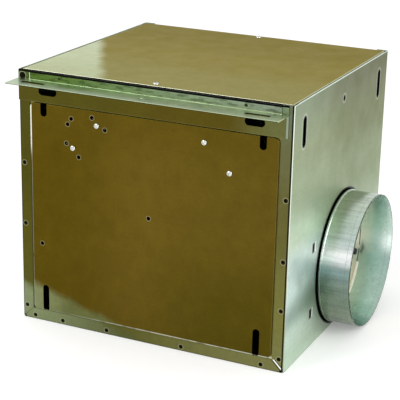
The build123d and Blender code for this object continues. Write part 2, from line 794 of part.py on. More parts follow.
def make_hangers():
    wide = (-hanger_half_w, hanger_half_w)
    chord = hanger_chord()
    low, high = chord - hanger_foot / 2, chord + hanger_foot / 2
    start, end = panel_back, scroll_front - sheet
    hanger = block(wide, (start, end), (low, low + hanger_t))
    hanger += block(wide, (start, start + hanger_t), (low, high))
    hanger += block(wide, (end - hanger_t, end), (low, high))
    for x in hanger_screw_offsets():
        hanger -= along_y(disc(screw_r + screw_clear, x, chord), start - 1, start + 2 * hanger_t)
    for x in (-hanger_bolt_half, hanger_bolt_half):
        hanger -= along_y(disc(screw_r + screw_clear, x, hanger_bolt_reach), end - 2 * hanger_t, end + 1)
    save("left_hanger", about_shaft(hanger, -hanger_turn))
    save("right_hanger", about_shaft(hanger, hanger_turn))
    hexagon = RegularPolygon(nut_across / 2, 6, major_radius=False) - Circle(screw_r + 0.05)
    screws, bolts, nuts = [], [], []
    rows = [(screws, x, chord, panel_face, panel_back + hanger_t) for x in hanger_screw_offsets()]
    rows += [(bolts, x, hanger_bolt_reach, end - hanger_t, scroll_front)
             for x in (-hanger_bolt_half, hanger_bolt_half)]
    for kind, x, z, face, nut_low in rows:
        shank = along_y(disc(screw_r, x, z), face, nut_low + nut_h + 1)
        screw = shank + Pos(x, face, z) * Rot(90, 0, 0) * round_head()
        nut = along_y(Pos(x, z) * hexagon, nut_low, nut_low + nut_h)
        for angle in (-hanger_turn, hanger_turn):
            kind.append(about_shaft(screw, angle))
            nuts.append(about_shaft(nut, angle))
    save("hanger_screws", screws)
    save("hanger_bolts", bolts)
    save("hanger_nuts", nuts)


# Collar and damper
def at_collar(sketch):
    return Pos(collar_y, collar_z) * sketch


def make_collar():
    mouth = half_w + collar_len
    bead_x = half_w + gasket_t
    collar = along_x(at_collar(ring(collar_r, collar_bore)), collar_start, mouth)
    bead = along_x(at_collar(ring(collar_r + bead_h, collar_bore)), bead_x, bead_x + bead_w)
    collar += round_edges(bead, 0.6, lambda x, y, z: (y - collar_y) ** 2 + (z - collar_z) ** 2 > collar_r ** 2)
    for angle in collar_tab_angles:
        tab = Pos(collar_r + collar_tab_h / 2 - collar_wall / 2, 0) * Rectangle(collar_tab_h + collar_wall, collar_tab_w)
        collar += along_x(at_collar(Rot(0, 0, angle) * tab) - at_collar(Circle(collar_bore)),
                          half_w - 2 * sheet, half_w - sheet)
    half_chord = damper_half_chord()
    bore = along_y(disc(bushing_r + 0.02, damper_rod_x, damper_rod_z), collar_y - 2 * half_chord,
                   collar_y + 2 * half_chord)
    save("duct_collar", collar - bore)
    gasket = ring(collar_r + gasket_out, collar_r)
    save("collar_gasket", along_x(at_collar(gasket), half_w, half_w + gasket_t))


def make_outlet_plate():
    low = 1.5 * sheet
    top = collar_z + collar_bore + outlet_plate_margin
    reach = max(scroll_w / 2 + 2 * sheet, collar_bore + outlet_plate_side)
    plate = Pos(collar_y, (low + top) / 2) * Rectangle(2 * reach, top - low)
    plate -= at_collar(Circle(collar_bore))
    save("outlet_plate", along_x(plate, collar_start - sheet, collar_start))


def damper_half_chord():
    """Half of the collar's bore at the height of the damper rod."""
    return sqrt(collar_bore ** 2 - damper_rod_drop ** 2)


def make_damper():
    radius = collar_bore - blade_clear
    blade = along_x(at_collar(Circle(radius)), blade_x, blade_x + damper_t)
    spring_y = (collar_y - spring_reach - spring_len / 2, collar_y - spring_reach + spring_len / 2)
    notch = spring_r + 1.5
    blade -= block((blade_x - 1, half_w), (collar_y - collar_r, spring_y[1] + 1),
                   (damper_rod_z - notch, damper_rod_z + notch))
    save("damper_blade", blade)
    half_chord = damper_half_chord()
    rod_reach = half_chord + bushing_len / 4
    rod = along_y(disc(damper_rod_r, damper_rod_x, damper_rod_z), collar_y - rod_reach, collar_y + rod_reach)
    save("damper_rod", rod)
    coil = ring(spring_r, damper_rod_r + 0.05, damper_rod_x, damper_rod_z)
    save("damper_spring", along_y(coil, *spring_y))
    clip = along_x(disc(clip_r), blade_x + damper_t, blade_x + damper_t + clip_h)
    clip = fillet(clip.edges().group_by(Axis.X)[-1], 1.0)
    save("damper_clips", [Pos(0, collar_y + sign * clip_reach, damper_rod_z) * clip for sign in (-1, 1)])
    bushings = []
    for sign in (-1, 1):
        inner = collar_y + sign * (half_chord - bushing_len * 0.15)
        outer = collar_y + sign * (half_chord + bushing_len * 0.7)
        body = along_y(disc(bushing_r, damper_rod_x, damper_rod_z), min(inner, outer), max(inner, outer))
        seat = collar_y + sign * (rod_reach + 0.5)
        body -= along_y(disc(damper_rod_r + damper_play, damper_rod_x, damper_rod_z), min(inner, seat),
                        max(inner, seat))
        bushings.append(body)
    save("damper_bushings", bushings)


def arc_band(outer, inner, start, size):
    """Part of a flat ring, in (Y, Z), round the collar's middle."""
    a, b = radians(start), radians(start + size)
    arcs = [CenterArc((0, 0), outer, start, size), CenterArc((0, 0), inner, start, size)]
    ends = [Line((inner * cos(t), inner * sin(t)), (outer * cos(t), outer * sin(t))) for t in (a, b)]
    return at_collar(make_face(arcs + ends))


def make_seals():
    inner = collar_bore - seal_w
    upper = arc_band(collar_bore, inner, 5, 170)
    high = blade_x - part_gap
    save("damper_upper_seal", along_x(upper, high - seal_t, high))
    lower = arc_band(collar_bore, inner, 205, 130)
    low = blade_x + damper_t + part_gap
    save("damper_lower_seal", along_x(lower, low, low + seal_t))


# Electrical pieces
def box_y():
    """Middle of the wiring box, front to back."""
    return back - 2 * sheet - box_back_gap - box_d / 2


def box_mid_z():
    return box_z + box_h / 2


def make_wiring_box():
    left = -half_w + sheet
    right = left + box_w
    y = (box_y() - box_d / 2, box_y() + box_d / 2)
    z = (box_z, box_z + box_h)
    between = (y[0] + box_wall, y[1] - box_wall)
    window = Pos(box_y(), box_mid_z()) * Rectangle(receptacle_w - 2 * window_lap, receptacle_h - 2 * window_lap)
    wall = block((right - box_wall, right), between, z)
    wall -= along_x(window, right - 2 * box_wall, right + box_wall)
    wall += block((left, right), between, (z[0], z[0] + box_wall))
    sheets = [wall]
    lid = block((left, right), y, (z[1], z[1] + box_wall))
    skirt_x = (right, right + box_wall)
    lid += block(skirt_x, y, (z[1] - lid_skirt, z[1] + box_wall))
    screw_places = [(left + box_w / 2, y[0] + box_screw_inset), (left + box_w / 2, y[1] - box_screw_inset)]
    for place in screw_places:
        lid -= along_z(disc(box_screw_r + screw_clear, *place), z[1] - box_wall, z[1] + 2 * box_wall)
    save("wiring_box_cover", lid)
    screws = []
    for x, place_y in screw_places:
        low = z[1] + box_wall
        screw = along_z(disc(box_screw_r, x, place_y), low - box_screw_len, low)
        screws.append(screw + along_z(disc(box_screw_head_r, x, place_y), low, low + box_screw_head_h))
        edge = y[0] if place_y < box_y() else y[1]
        inwards = 1 if place_y < box_y() else -1
        end = block((left, right), (edge, edge + inwards * box_wall), z)
        ear = (edge, edge + inwards * (box_screw_inset + box_ear_w / 2))
        end += block((x - box_ear_w / 2, x + box_ear_w / 2), ear, (z[1] - box_wall, z[1]))
        sheets.append(end - along_z(disc(box_screw_r + thread_gap, x, place_y), z[1] - 2 * box_wall, z[1] + box_wall))
    save("wiring_box", sheets)
    save("wiring_box_screws", screws)
    face = Pos(box_y(), box_mid_z()) * Rectangle(receptacle_w, receptacle_h)
    body = along_x(face, right, right + receptacle_face)
    inside = 2 * (window_lap + part_gap)
    core = Pos(box_y(), box_mid_z()) * Rectangle(receptacle_w - inside, receptacle_h - inside)
    body += along_x(core, right - receptacle_d, right)
    for sign in (-1, 1):
        pin = Pos(box_y() + sign * pin_spread, box_mid_z() + 4) * Rectangle(pin_slot_w, pin_slot_h)
        body -= along_x(pin, right - receptacle_d / 2, right + receptacle_face + 1)
    ground = disc(pin_slot_w, box_y(), box_mid_z() - pin_slot_h)
    body -= along_x(ground, right - receptacle_d / 2, right + receptacle_face + 1)
    save("motor_receptacle", body)


def make_capacitor():
    wall = scroll_front - sheet
    y = wall - strap_t - capacitor_r - 0.1
    low = capacitor_z - capacitor_len / 2
    can = along_z(disc(capacitor_r, capacitor_x, y), low, low + capacitor_len)
    can = fillet(can.edges(), 1.5)
    for sign in (-1, 1):
        can += along_z(disc(2.0, capacitor_x + sign * capacitor_r * 0.4, y), low + capacitor_len,
                       low + capacitor_len + 8)
    save("run_capacitor", can)
    strap = ring(capacitor_r + strap_t, capacitor_r, capacitor_x, y)
    reach = capacitor_r + strap_t + strap_foot
    foot = Pos(capacitor_x, wall - strap_t / 2) * Rectangle(2 * reach, strap_t)
    foot -= disc(capacitor_r, capacitor_x, y)
    band = (capacitor_z - strap_w / 2, capacitor_z + strap_w / 2)
    save("capacitor_strap", along_z(strap + foot, *band))


def main():
    make_sides()
    make_bottom_pan()
    make_back_panel()
    make_front_panel()
    make_rail()
    make_mounting_flange()
    make_rivets()
    make_cover()
    make_scroll_wrap()
    make_scroll_tongue()
    make_scroll_plates()
    make_inlet_rings()
    make_wheel()
    make_motor()
    make_motor_mount()
    make_hangers()
    make_collar()
    make_outlet_plate()
    make_damper()
    make_seals()
    make_wiring_box()
    make_capacitor()
    for name, shape in parts.items():
        export_step(shape, "parts/" + name + ".step")


main()
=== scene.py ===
import math

import bpy
from mathutils import Matrix, Vector


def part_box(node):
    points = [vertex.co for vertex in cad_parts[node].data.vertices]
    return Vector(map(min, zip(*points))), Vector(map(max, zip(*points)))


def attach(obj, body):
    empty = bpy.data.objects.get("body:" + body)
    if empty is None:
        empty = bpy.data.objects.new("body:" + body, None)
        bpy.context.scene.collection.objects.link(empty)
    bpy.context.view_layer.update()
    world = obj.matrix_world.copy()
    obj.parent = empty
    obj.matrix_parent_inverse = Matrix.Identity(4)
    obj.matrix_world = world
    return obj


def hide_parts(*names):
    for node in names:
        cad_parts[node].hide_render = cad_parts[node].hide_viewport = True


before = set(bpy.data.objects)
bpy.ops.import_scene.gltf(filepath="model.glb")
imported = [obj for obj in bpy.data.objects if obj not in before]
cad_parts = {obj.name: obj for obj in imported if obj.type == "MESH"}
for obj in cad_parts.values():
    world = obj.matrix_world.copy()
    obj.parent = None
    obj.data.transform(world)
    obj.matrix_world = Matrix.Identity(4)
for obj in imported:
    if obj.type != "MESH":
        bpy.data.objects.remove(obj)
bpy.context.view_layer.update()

MM = 0.001

# Folded housing, in millimetres, as in the CAD model
HOUSING_H, HALF_W, HALF_D = 390.0, 215.0, 200.0
STRIP_W = 18.0
SHEET = 1.0
NEAR = 0.1               # how close to a plane counts as on it
STRAIGHT = 0.9           # share of a direction that counts as along an axis
CUT_LEN = 8.0            # a cutter's length, well past one sheet
FOLD_R = 2.0
OPEN_MITRE = 1.25
CLOSED_MITRE = 0.25
RELIEF_R = 1.6
EDGE_ROUND = 0.22        # soft edge left by the shears
SOFT_ANGLE = 35.0        # sharper edges than this are rounded

# Upright slots and small holes
SLOT_W, SLOT_LEN = 10.5, 42.0
SLOT_DROP, SLOT_RISE = 45.0, 39.5
SIDE_SLOT_INSET = 40.0
FRONT_SLOT_INSET = 42.5
SIDE_HOLE_R, SIDE_HOLE_DROP = 3.0, 33.0
KNOCKOUT_R = 11.1
LEDGE_W, LEDGE_DROP = 17.0, 6.0
LIP_H = 13.0

# Front panel
PANEL_GAP = 1.3
PANEL_PROUD = 2.5
PANEL_FACE = -HALF_D - PANEL_PROUD
PANEL_CORNER_R = 8.0
PANEL_BEND_R = 1.2
PANEL_BORDER_END = 8.0
SHAFT_Z = 196.5
PANEL_HOLE_R = 2.5
SPARE_HOLE_R = 2.1
SPARE_HOLES = ((181.5, -44.1), (179.6, -47.4), (164.7, -34.1), (140.4, -30.5),
               (163.2, -55.4), (136.4, -56.9), (191.0, -111.3))
SCREW_CIRCLE = 151.5
SCREW_ANGLES = (-55.0, -34.0, 34.0, 55.0)
SCREW_HOLE_R = 2.8

# Rail and flange
RAIL_FACE = -HALF_D - SHEET
RAIL_SLOT_LEN, RAIL_SLOT_W, RAIL_SLOT_DROP, RAIL_SLOT_REACH = 30.0, 12.0, 29.0, 162.5
FLANGE_SHEET = 1.5
FLANGE_SLOT_LEN, FLANGE_SLOT_W, FLANGE_SLOT_REACH = 36.0, 8.0, 174.0
FLANGE_HOLE_R, FLANGE_CORNER_R = 2.5, 1.5
FLANGE_INSETS = (19.5, 9.75)
TAB_W, TAB_GAP = 14.0, 0.6
COVER_HOLE_R, COVER_GAP = 2.55, 0.3

# Rivets: left, right and bottom strips, then the back
RIVET_HOLE_R = 2.0
RIVET_HEAD_R = 2.7
RIVET_BORE_R = 1.3
LEFT_RIVETS = ((-208.0, 20.7), (-208.0, 153.6), (-208.0, 248.8))
RIGHT_RIVETS = ((207.5, 20.4), (207.5, 94.0), (207.5, 167.1), (207.5, 256.7))
LOW_RIVETS = ((-193.7, 6.5), (-145.4, 6.5), (-69.7, 6.5), (54.0, 6.5), (180.3, 6.5))
FRONT_RIVETS = LEFT_RIVETS + RIGHT_RIVETS + LOW_RIVETS
BACK_LOW_RIVETS = ((-107.5, 6.5), (0.0, 6.5), (107.5, 6.5))
BACK_RIVETS = tuple((side * 208.0, z) for side in (-1, 1) for z in (20.7, 153.6, 248.8, 339.3))
BACK_RIVETS += BACK_LOW_RIVETS
TOP_RIVETS = ((-208.0, 381.0),)
FLANGE_RIVETS = ((-145.5, 383.0), (145.5, 383.0))

# Screws: head profile (height, radius)
SCREW_HEAD = ((-0.01, 2.4), (0.0, 4.3), (0.5, 4.3), (1.2, 4.05), (1.9, 3.4), (2.4, 2.5), (2.7, 1.4),
              (2.8, 0.4))
SCREW_SPINS = (12.0, 57.0, 33.0, 81.0)
SHANK_R = 2.5
RECESS_REACH, RECESS_HALF_W, RECESS_FLOOR = 2.35, 0.55, 1.35
COVER_SCREW_Y, COVER_SCREW_LEN = 184.0, 11.0

# Collar
COLLAR_Y, COLLAR_Z = 22.0, 105.0
COLLAR_R, COLLAR_WALL = 101.5, 0.8
COLLAR_HOLE_R = 102.5
SLIT_R, SLIT_ANGLE, SLIT_LEN, SLIT_W = 132.0, 23.0, 10.0, 3.0
GASKET_T = 2.5
BEAD_SHAPE = ((0.05, 0.8), (0.6, 1.35), (1.7, 1.5), (2.8, 1.35), (3.4, 0.8), (3.5, 0.0))
COLLAR_TAB_W, COLLAR_TAB_REACH = 14.0, 8.5
TAB_ANGLES = (15, 52, 90, 128, 165, 212, 328)
ROD_X, ROD_Z = 209.7, 85.0
BUSHING_HOLE_R = 4.02
CLIP_REACH, CLIP_R, CLIP_RIM, CLIP_DISH = 76.0, 5.0, 1.6, 0.5

# Light
WHITE, PALE = (1, 1, 1, 1), (0.8, 0.8, 0.8, 1)
FLOOR_GLOW = 0.22
WORLD_LIGHT = 0.92
LAMPS = (("key", (-1.7, -2.3, 2.6), 1.8, 45), ("right_fill", (2.6, -0.6, 1.6), 1.6, 30))


def corners(node):
    """Lowest and highest corners of a CAD node, in millimetres."""
    low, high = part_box(node)
    return Vector(low) / MM, Vector(high) / MM


# Modelling by hand
def deselect():
    if bpy.context.object and bpy.context.object.mode != "OBJECT":
        bpy.ops.object.mode_set(mode="OBJECT")
    bpy.ops.object.select_all(action="DESELECT")


def pick(*pieces):
    """Select these pieces alone; the last one is active."""
    deselect()
    for piece in pieces:
        piece.select_set(True)
    bpy.context.view_layer.objects.active = pieces[-1]


def settle(piece):
    """Put a piece's place, turn and scale into its mesh."""
    pick(piece)
    bpy.ops.object.transform_apply(location=True, rotation=True, scale=True)
    return piece


def start_block(name, low, high):
    """Block between two corners, in millimetres."""
    deselect()
    low, high = Vector(low) * MM, Vector(high) * MM
    bpy.ops.mesh.primitive_cube_add(size=1, location=(low + high) / 2)
    piece = bpy.context.object
    piece.name = name
    piece.scale = high - low
    return settle(piece)


def start_sheet(name, middle, width, height, turn):
    """Flat sheet without thickness: width along its own X, height along its own Y, in millimetres."""
    deselect()
    bpy.ops.mesh.primitive_plane_add(size=1, location=Vector(middle) * MM,
                                     rotation=[math.radians(angle) for angle in turn])
    piece = bpy.context.object
    piece.name = name
    piece.scale = (width * MM, height * MM, 1)
    return settle(piece)


def start_rod(name, place, radius, length, facing, sides):
    """Cylinder round a place, along a direction, in millimetres."""
    deselect()
    bpy.ops.mesh.primitive_cylinder_add(vertices=sides, radius=radius * MM, depth=length * MM)
    piece = bpy.context.object
    piece.name = name
    return stand(piece, place, facing)


def stand(piece, place, facing, spin=0.0):
    """Turn a piece's Z towards a direction, then move it to its place."""
    piece.rotation_mode = "QUATERNION"
    turn = Vector(facing).to_track_quat("Z", "Y")
    piece.rotation_quaternion = turn @ Matrix.Rotation(math.radians(spin), 4, "Z").to_quaternion()
    piece.location = Vector(place) * MM
    return settle(piece)


def choose(piece, kind, test):
    """Edit mode with the faces or edges that pass test(middle in mm, direction)."""
    pick(piece)
    mesh = piece.data
    for group in (mesh.vertices, mesh.edges, mesh.polygons):
        group.foreach_set("select", [False] * len(group))
    if kind == "FACE":
        for face in mesh.polygons:
            face.select = bool(test(face.center / MM, face.normal))
    elif kind == "EDGE":
        for edge in mesh.edges:
            first, second = (mesh.vertices[index].co for index in edge.vertices)
            edge.select = bool(test((first + second) / 2 / MM, (second - first).normalized()))
    else:
        for vertex in mesh.vertices:
            vertex.select = bool(test(vertex.co / MM, vertex.normal))
    bpy.context.tool_settings.mesh_select_mode = [kind == name for name in ("VERT", "EDGE", "FACE")]
    bpy.ops.object.mode_set(mode="EDIT")


def close(value, wanted):
    return abs(value - wanted) < NEAR


def choose_all(piece):
    pick(piece)
    bpy.context.tool_settings.mesh_select_mode = (True, False, False)
    bpy.ops.object.mode_set(mode="EDIT")
    bpy.ops.mesh.select_all(action="SELECT")


def done():
    bpy.ops.object.mode_set(mode="OBJECT")


def move(x=0.0, y=0.0, z=0.0):
    """Move what is selected, in millimetres, and leave edit mode."""
    bpy.ops.transform.translate(value=(x * MM, y * MM, z * MM))
    done()


def extrude(x=0.0, y=0.0, z=0.0):
    """Extrude what is selected, in millimetres, and stay in edit mode."""
    bpy.ops.mesh.extrude_region_move(TRANSFORM_OT_translate={"value": (x * MM, y * MM, z * MM)})


def pull_out(x=0.0, y=0.0, z=0.0):
    """Extrude what is selected, in millimetres, and leave edit mode."""
    extrude(x, y, z)
    done()


def round_over(width, segments=4):
    """Bevel the selected edges, and leave edit mode."""
    bpy.ops.mesh.bevel(offset=width * MM, segments=segments, affect="EDGES")
    done()


def divide(piece, spot, normal):
    """New edges where a plane through a spot, in millimetres, crosses a piece."""
    choose_all(piece)
    bpy.ops.mesh.bisect(plane_co=Vector(spot) * MM, plane_no=normal)
    done()


def outward(piece):
    choose_all(piece)
    bpy.ops.mesh.remove_doubles(threshold=0.00001)
    bpy.ops.mesh.normals_make_consistent(inside=False)
    done()
    return piece


def modify(piece, kind, **settings):
    pick(piece)
    bpy.ops.object.modifier_add(type=kind)
    modifier = piece.modifiers[-1]
    for name, value in settings.items():
        setattr(modifier, name, value)
    bpy.ops.object.modifier_apply(modifier=modifier.name)
    return piece


def thicken(piece, thickness=SHEET):
    """Give a sheet its thickness, behind its outward faces."""
    return modify(piece, "SOLIDIFY", thickness=thickness * MM, offset=-1.0, use_even_offset=True)


def join(name, *pieces):
    pick(*pieces)
    if len(pieces) > 1:
        bpy.ops.object.join()
    bpy.context.object.name = name
    return bpy.context.object


def cut(piece, *cutters):
    """Cut every cutter out of a piece."""
    cutter = join("cutter", *cutters)
    modify(piece, "BOOLEAN", operation="DIFFERENCE", object=cutter, solver="EXACT")
    bpy.data.objects.remove(cutter)
    return piece


def soften(piece, width=EDGE_ROUND, segments=2):
    """Round the sharp edges a little, and shade what is smooth."""
    modify(piece, "BEVEL", width=width * MM, segments=segments, limit_method="ANGLE",
           angle_limit=math.radians(SOFT_ANGLE), harden_normals=False)
    pick(piece)
    bpy.ops.object.shade_smooth_by_angle(angle=math.radians(SOFT_ANGLE))
    modify(piece, "WEIGHTED_NORMAL", keep_sharp=True, weight=80)
    return piece


def copied(piece):
    pick(piece)
    bpy.ops.object.duplicate(linked=False)
    return bpy.context.object


def slot_cutter(width, length, place, facing, spin=0.0):
    """Cutter with round ends: a rod pulled apart along its own Y."""
    deselect()
    bpy.ops.mesh.primitive_cylinder_add(vertices=40, radius=width / 2 * MM, depth=12 * MM)
    piece = bpy.context.object
    reach = (length - width) / 2
    for side in (-1, 1):
        choose(piece, "VERT", lambda at, _: side * at.y > 0.01)
        move(y=side * reach)
    return stand(piece, place, facing, spin)


def hole_cutters(radius, places, y, depth=CUT_LEN):
    return [start_rod("hole", (x, y, z), radius, depth, (0, 1, 0), 24) for x, z in places]


def turned(name, profile, sides):
    """Piece turned about Z: a circle drawn on through (height, radius) pairs, ends joined if they meet."""
    deselect()
    (height, radius), *rest = profile
    bpy.ops.mesh.primitive_circle_add(vertices=sides, radius=radius * MM, location=(0, 0, height * MM))
    piece = bpy.context.object
    piece.name = name
    settle(piece)
    choose_all(piece)
    for next_height, next_radius in rest:
        extrude(z=next_height - height)
        share = next_radius / radius
        bpy.ops.transform.resize(value=(share, share, 1), center_override=(0, 0, next_height * MM))
        height, radius = next_height, next_radius
    done()
    return outward(piece)


def close_ends(piece):
    """Fill the open rings of a turned piece."""
    choose_all(piece)
    bpy.ops.mesh.select_all(action="DESELECT")
    bpy.ops.mesh.select_mode(type="EDGE")
    bpy.ops.mesh.select_non_manifold()
    bpy.ops.mesh.edge_face_add()
    done()
    return outward(piece)


# Housing sheets
def slit_places():
    """Places (Y, Z) of the slits beside the collar, and how far each leans."""
    places = []
    for turn in (180 - SLIT_ANGLE, 180 + SLIT_ANGLE):
        angle = math.radians(turn)
        y, z = COLLAR_Y + SLIT_R * math.cos(angle), COLLAR_Z + SLIT_R * math.sin(angle)
        places.append((y, z, turn - 180))
    return places


def make_side(name, sign, mitre):
    """Side sheet with a folded strip at the front and the back, and the ledge that the cover rests on."""
    low, high = corners(name)
    face = sign * max(abs(low.x), abs(high.x))
    middle_z = (low.z + high.z) / 2
    side = start_sheet(name + "_sheet", (face, 0, middle_z), high.z - low.z, high.y - low.y,
                       (0, 90 * sign, 0))
    for edge_y in (low.y, high.y):
        choose(side, "EDGE", lambda at, along: close(at.y, edge_y) and abs(along.z) > STRAIGHT)
        pull_out(x=-sign * STRIP_W)
    for edge_y, gap in ((low.y, mitre), (high.y, CLOSED_MITRE)):
        choose(side, "VERT", lambda at, _: close(at.y, edge_y) and at.z < low.z + 1
               and abs(at.x) < abs(face) - 1)
        move(z=STRIP_W + gap - low.z)
    choose(side, "EDGE", lambda at, along: close(at.x, face) and close(abs(at.y), high.y)
           and abs(along.z) > STRAIGHT)
    round_over(FOLD_R)
    thicken(side)
    z = high.z - SLOT_DROP
    cutters = [slot_cutter(SLOT_W, SLOT_LEN, (face, y, z), (1, 0, 0))
               for y in (low.y + SIDE_SLOT_INSET, high.y - SIDE_SLOT_INSET)]
    place = (face, 0, high.z - SIDE_HOLE_DROP)
    cutters.append(start_rod("hole", place, SIDE_HOLE_R, CUT_LEN, (1, 0, 0), 32))
    rows = RIGHT_RIVETS if sign > 0 else LEFT_RIVETS + TOP_RIVETS
    cutters += hole_cutters(RIVET_HOLE_R, rows, low.y)
    cutters.append(start_rod("relief", (face - sign * SHEET, low.y, SHEET), RELIEF_R, 4, (0, 1, 0), 24))
    if sign > 0:
        middle = (face, COLLAR_Y, COLLAR_Z)
        cutters.append(start_rod("collar_hole", middle, COLLAR_HOLE_R, CUT_LEN, (1, 0, 0), 128))
        for y, z, lean in slit_places():
            cutters.append(slot_cutter(SLIT_W, SLIT_LEN, (face, y, z), (1, 0, 0), lean))
    else:
        low_box, high_box = corners("wiring_box")
        centre = (low_box + high_box) / 2
        place = (face, centre.y, centre.z)
        cutters.append(start_rod("knockout", place, KNOCKOUT_R, CUT_LEN, (1, 0, 0), 64))
    cut(side, *cutters)
    soften(side)
    side = join(name + "_sheet", make_ledge(face, sign, low, high), side)
    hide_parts(name)
    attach(side, "housing")
    return side


def make_ledge(face, sign, low, high):
    """Angle inside a side: an upright leg against the sheet and a shelf for the cover."""
    inner = face - sign * SHEET
    shelf = high.z - LEDGE_DROP
    near, far = sorted((inner, inner - sign * SHEET))
    ledge = start_block("ledge", (near, low.y + LEDGE_W, shelf - SHEET), (far, high.y - LEDGE_W, high.z))
    divide(ledge, (0, 0, shelf), (0, 0, 1))
    choose(ledge, "FACE", lambda at, normal: normal.x * sign < -STRAIGHT and at.z < shelf)
    pull_out(x=-sign * LEDGE_W)
    return soften(ledge, 0.15)


def make_bottom():
    low, high = corners("bottom_pan")
    pan = start_sheet("bottom_pan_sheet", (0, 0, 0), high.x - low.x, high.y - low.y, (180, 0, 0))
    for edge_y in (low.y, high.y):
        choose(pan, "EDGE", lambda at, along: close(at.y, edge_y) and abs(along.x) > STRAIGHT)
        pull_out(z=STRIP_W)
    for edge_y in (low.y, high.y):
        for side in (-1, 1):
            gap = OPEN_MITRE if side > 0 and edge_y < 0 else CLOSED_MITRE
            choose(pan, "VERT", lambda at, _: close(at.y, edge_y) and at.z > 1 and side * at.x > 1)
            move(x=-side * (STRIP_W + gap))
    choose(pan, "EDGE", lambda at, along: close(abs(at.y), high.y)
           and close(at.z, 0) and abs(along.x) > STRAIGHT)
    round_over(FOLD_R * 0.75)
    thicken(pan)
    cutters = hole_cutters(RIVET_HOLE_R, LOW_RIVETS, low.y)
    cutters += hole_cutters(RIVET_HOLE_R, BACK_LOW_RIVETS, high.y)
    for side in (-1, 1):
        place = (side * (high.x - SHEET), low.y, SHEET)
        cutters.append(start_rod("relief", place, RELIEF_R, 4, (0, 1, 0), 24))
    cut(pan, *cutters)
    soften(pan)
    lips = []
    reach = 0.6 * COLLAR_R
    for side, stretches in ((-1, ((low.y + 2, high.y - 2),)),
                            (1, ((low.y + 2, COLLAR_Y - reach), (COLLAR_Y + reach, high.y - 2)))):
        near, far = sorted((side * (high.x - SHEET), side * (high.x - 2 * SHEET)))
        for start, end in stretches:
            lip = start_block("lip", (near, start, SHEET), (far, end, SHEET + LIP_H))
            lips.append(soften(lip, 0.15))
    pan = join("bottom_pan_sheet", *lips, pan)
    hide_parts("bottom_pan")
    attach(pan, "housing")
    return pan


def make_front():
    """Front panel: a flat border and a raised middle with round corners, pressed out between the strips."""
    low, high = corners("front_panel")
    border_y = low.y + PANEL_PROUD + SHEET
    middle = ((low.x + high.x) / 2, border_y, (low.z + high.z) / 2)
    panel = start_sheet("front_panel_sheet", middle, high.x - low.x, high.z - low.z, (90, 0, 0))
    raised_x = HALF_W - STRIP_W - PANEL_GAP
    raised_z = (STRIP_W + PANEL_GAP, high.z - PANEL_BORDER_END)
    for spot, normal in (((-raised_x, 0, 0), (1, 0, 0)), ((raised_x, 0, 0), (1, 0, 0)),
                         ((0, 0, raised_z[0]), (0, 0, 1)), ((0, 0, raised_z[1]), (0, 0, 1))):
        divide(panel, spot, normal)
    choose(panel, "FACE", lambda at, _: abs(at.x) < raised_x and raised_z[0] < at.z < raised_z[1])
    pull_out(y=low.y - border_y)
    choose(panel, "EDGE", lambda at, along: abs(along.y) > STRAIGHT)
    round_over(PANEL_CORNER_R, 10)
    choose(panel, "EDGE", lambda at, along: abs(at.y - low.y) < 0.05 and (
        abs(at.x) > raised_x - PANEL_CORNER_R or not raised_z[0] + 8 < at.z < raised_z[1] - 8))
    round_over(PANEL_BEND_R, 5)
    thicken(panel)
    cutters = []
    for x in (FRONT_SLOT_INSET - HALF_W, HALF_W - FRONT_SLOT_INSET):
        for z in (SLOT_RISE, HOUSING_H - SLOT_DROP):
            cutters.append(slot_cutter(SLOT_W, SLOT_LEN, (x, border_y, z), (0, -1, 0)))
    cutters += hole_cutters(SCREW_HOLE_R, screw_places(), border_y, 12)
    cutters += hole_cutters(SPARE_HOLE_R, around_shaft(SPARE_HOLES), border_y, 12)
    cutters += hole_cutters(PANEL_HOLE_R, [(0, SHAFT_Z)], border_y, 12)
    cutters += hole_cutters(RIVET_HOLE_R, FRONT_RIVETS, border_y, 2.5)
    cut(panel, *cutters)
    soften(panel, 0.3)
    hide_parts("front_panel")
    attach(panel, "housing")
    return panel


def around_shaft(polar):
    """Places (X, Z) on the front from (radius, angle from straight up)."""
    return [(radius * math.sin(math.radians(angle)), SHAFT_Z + radius * math.cos(math.radians(angle)))
            for radius, angle in polar]


def screw_places():
    """Places (X, Z) of the round-head screws of the front."""
    return around_shaft([(SCREW_CIRCLE, angle) for angle in SCREW_ANGLES])


def make_rail():
    low, high = corners("top_rail")
    face, behind = low.y, low.y + SHEET
    middle_x = (low.x + high.x) / 2
    tab_z = (high.z - 1.8, high.z - 0.8)
    rail = start_block("top_rail_sheet", (low.x, face, low.z), (high.x, behind, high.z))
    cutters = []
    for side in (-1, 1):
        place = (middle_x + side * RAIL_SLOT_REACH, face, HOUSING_H - RAIL_SLOT_DROP)
        cutters.append(slot_cutter(RAIL_SLOT_W, RAIL_SLOT_LEN, place, (0, -1, 0), 90))
    cutters += hole_cutters(RIVET_HOLE_R, TOP_RIVETS + FLANGE_RIVETS, face, 4)
    cut(rail, *cutters)
    soften(rail, 0.25)
    tab = start_block("tab", (-TAB_W / 2, behind - 0.01, tab_z[0]), (TAB_W / 2, high.y, tab_z[1]))
    choose(tab, "EDGE", lambda at, along: close(at.y, high.y) and abs(along.z) > STRAIGHT)
    round_over(3, 6)
    cut(tab, start_rod("hole", (0, -COVER_SCREW_Y, tab_z[0]), SCREW_HOLE_R, 6, (0, 0, 1), 32))
    soften(tab, 0.15)
    rail = join("top_rail_sheet", tab, rail)
    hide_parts("top_rail")
    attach(rail, "housing")
    return rail


